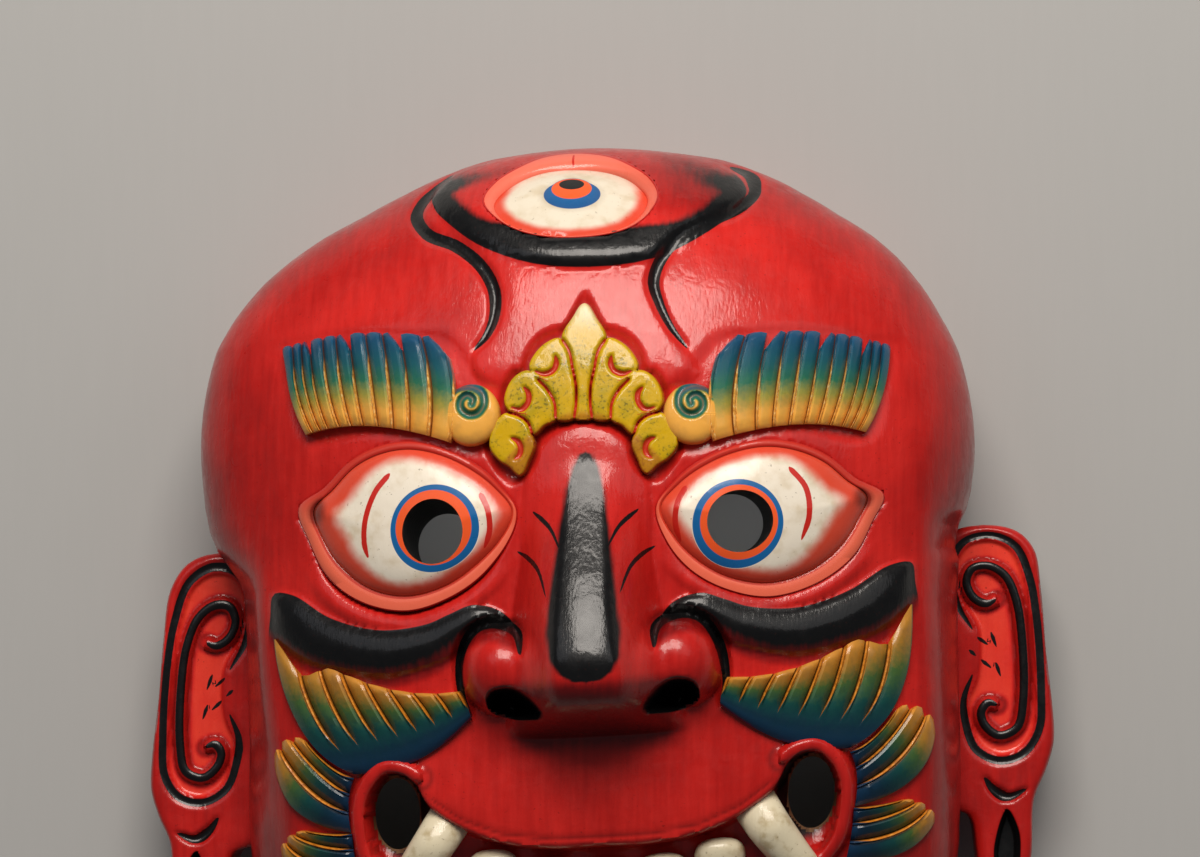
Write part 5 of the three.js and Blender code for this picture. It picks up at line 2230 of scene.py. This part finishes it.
@dataclass
class Studio:
    """The camera at the photograph's viewing angle, a plain pale floor and soft light."""

    distance: float = 1.3
    azimuth: float = 3.0
    focus: Triple = (0.0036, 0.0, 0.1)
    lens: float = 108.33
    shift_y: float = 0.1579
    floor_reach: float = 6.0
    sensor: float = 36.0
    haze: str = "#D8DCE2"
    haze_strength: float = 0.14
    glow: Pair = (0.03, 0.006)

    def build(self) -> None:
        """Sets the scene up."""
        self._camera()
        self._floor()
        self._light("softbox", (0.05, 1.2, 1.4), (1.2, 0.85), 38.0, "#FFF7EE")
        self._light("fill_left", (-0.95, 0.7, 1.25), (0.8, 0.8), 1.4, "#F3F6FF")
        self._light("fill_right", (1.0, 0.6, 1.2), (0.8, 0.8), 1.4, "#FFFFFF")
        for side in Side:
            x, y = side.value * 0.055, 0.035
            size, power = (self.glow[0], self.glow[0]), self.glow[1]
            self._light(f"under_{side.name.lower()}_eye", (x, y, 0.06), size, power, "#FFFFFF", (x, y, 0.0))
        world = bpy.data.worlds.new("studio")
        world.use_nodes = True
        background = world.node_tree.nodes["Background"]
        background.inputs["Color"].default_value = linear(self.haze)
        background.inputs["Strength"].default_value = self.haze_strength
        bpy.context.scene.world = world
        bpy.context.scene.view_settings.view_transform = "Standard"

    def _camera(self) -> None:
        """The camera, level with the mask's middle and a little to its right."""
        turn = math.radians(self.azimuth)
        data = bpy.data.cameras.new("camera")
        data.lens = self.lens
        data.sensor_width = self.sensor
        data.sensor_fit = "HORIZONTAL"
        data.shift_y = self.shift_y
        camera = bpy.data.objects.new("camera", data)
        camera.location = (
            self.focus[0] + self.distance * math.sin(turn), self.focus[1],
            self.focus[2] + self.distance * math.cos(turn),
        )
        camera.rotation_euler = (0.0, turn, 0.0)
        bpy.context.scene.collection.objects.link(camera)
        bpy.context.scene.camera = camera

    def _floor(self) -> None:
        """A pale matt board."""
        bpy.ops.object.select_all(action="DESELECT")
        bpy.ops.mesh.primitive_plane_add(size=self.floor_reach, location=(0.0, 0.0, 0.0))
        floor = bpy.context.object
        floor.name = "floor"
        board = PlainPaint("pale_studio_board", "#AAAAA8", "#A9A9A7", 3.0, 0.9, bump_mm=0.0)
        floor.data.materials.append(board.make())

    def _light(
        self, name: str, place: Triple, size: Pair, power: float,
        colour: str, focus: Triple | None = None,
    ) -> None:
        """A soft lamp that looks at the mask, or at the focus given.

        Args:
            name: Its name.
            place: Where it stands, in metres.
            size: Its width and height.
            power: Its power in watts.
            colour: Its colour.
            focus: What it looks at, or None for the mask.
        """
        data = bpy.data.lights.new(name, "AREA")
        data.shape = "RECTANGLE"
        data.size, data.size_y = size
        data.energy = power
        data.color = linear(colour)[:3]
        lamp = bpy.data.objects.new(name, data)
        lamp.location = place
        aim = Vector(focus or self.focus) - Vector(place)
        lamp.rotation_euler = aim.to_track_quat("-Z", "Y").to_euler()
        bpy.context.scene.collection.objects.link(lamp)


def main() -> None:
    """Builds the mask piece by piece and sets up the studio."""
    lacquer = RedLacquer().make("red_lacquer")
    wood, soot = BARE_WOOD.make(), SOOT_PAINT.make()
    brow_paint, whisker_paint = BROW_PAINT.make(), WHISKER_PAINT.make()
    eye_paint = EYE_PAINT.make()
    bone = BonePaint().make("aged_tooth_paint")
    brows = (Brow(Side.LEFT, shift=-3.4), Brow(Side.RIGHT))
    face = Face(Crown(), brows, Eye(Side.RIGHT), ThirdEye())
    face.build(lacquer, wood, soot)
    face.crown.build()
    face.third_eye.build(face.boss, THIRD_EYE_PAINT.make())
    for brow in brows:
        brow.build(brow_paint)
    left_eye = Eye(
        Side.LEFT, hole_radius=10.9, tilt=(6.0, 10.0), ring_flat=0.9, ring_up=1.7, lower_up=2.0,
        strokes=(
            ((70, 52.3), (75.5, 46), (79, 37), (79.4, 29), (78, 23.5)),
            ((37.5, 45), (34.6, 39), (34, 32), (36, 25)),
        ),
    )
    for eye in (left_eye, Eye(Side.RIGHT)):
        eye.build(eye_paint, soot)
    for side in Side:
        Whiskers(side).build(whisker_paint)
        Ear(side).build(lacquer)
    Teeth().build(bone)
    Studio().build()


if __name__ == "__main__":
    main()
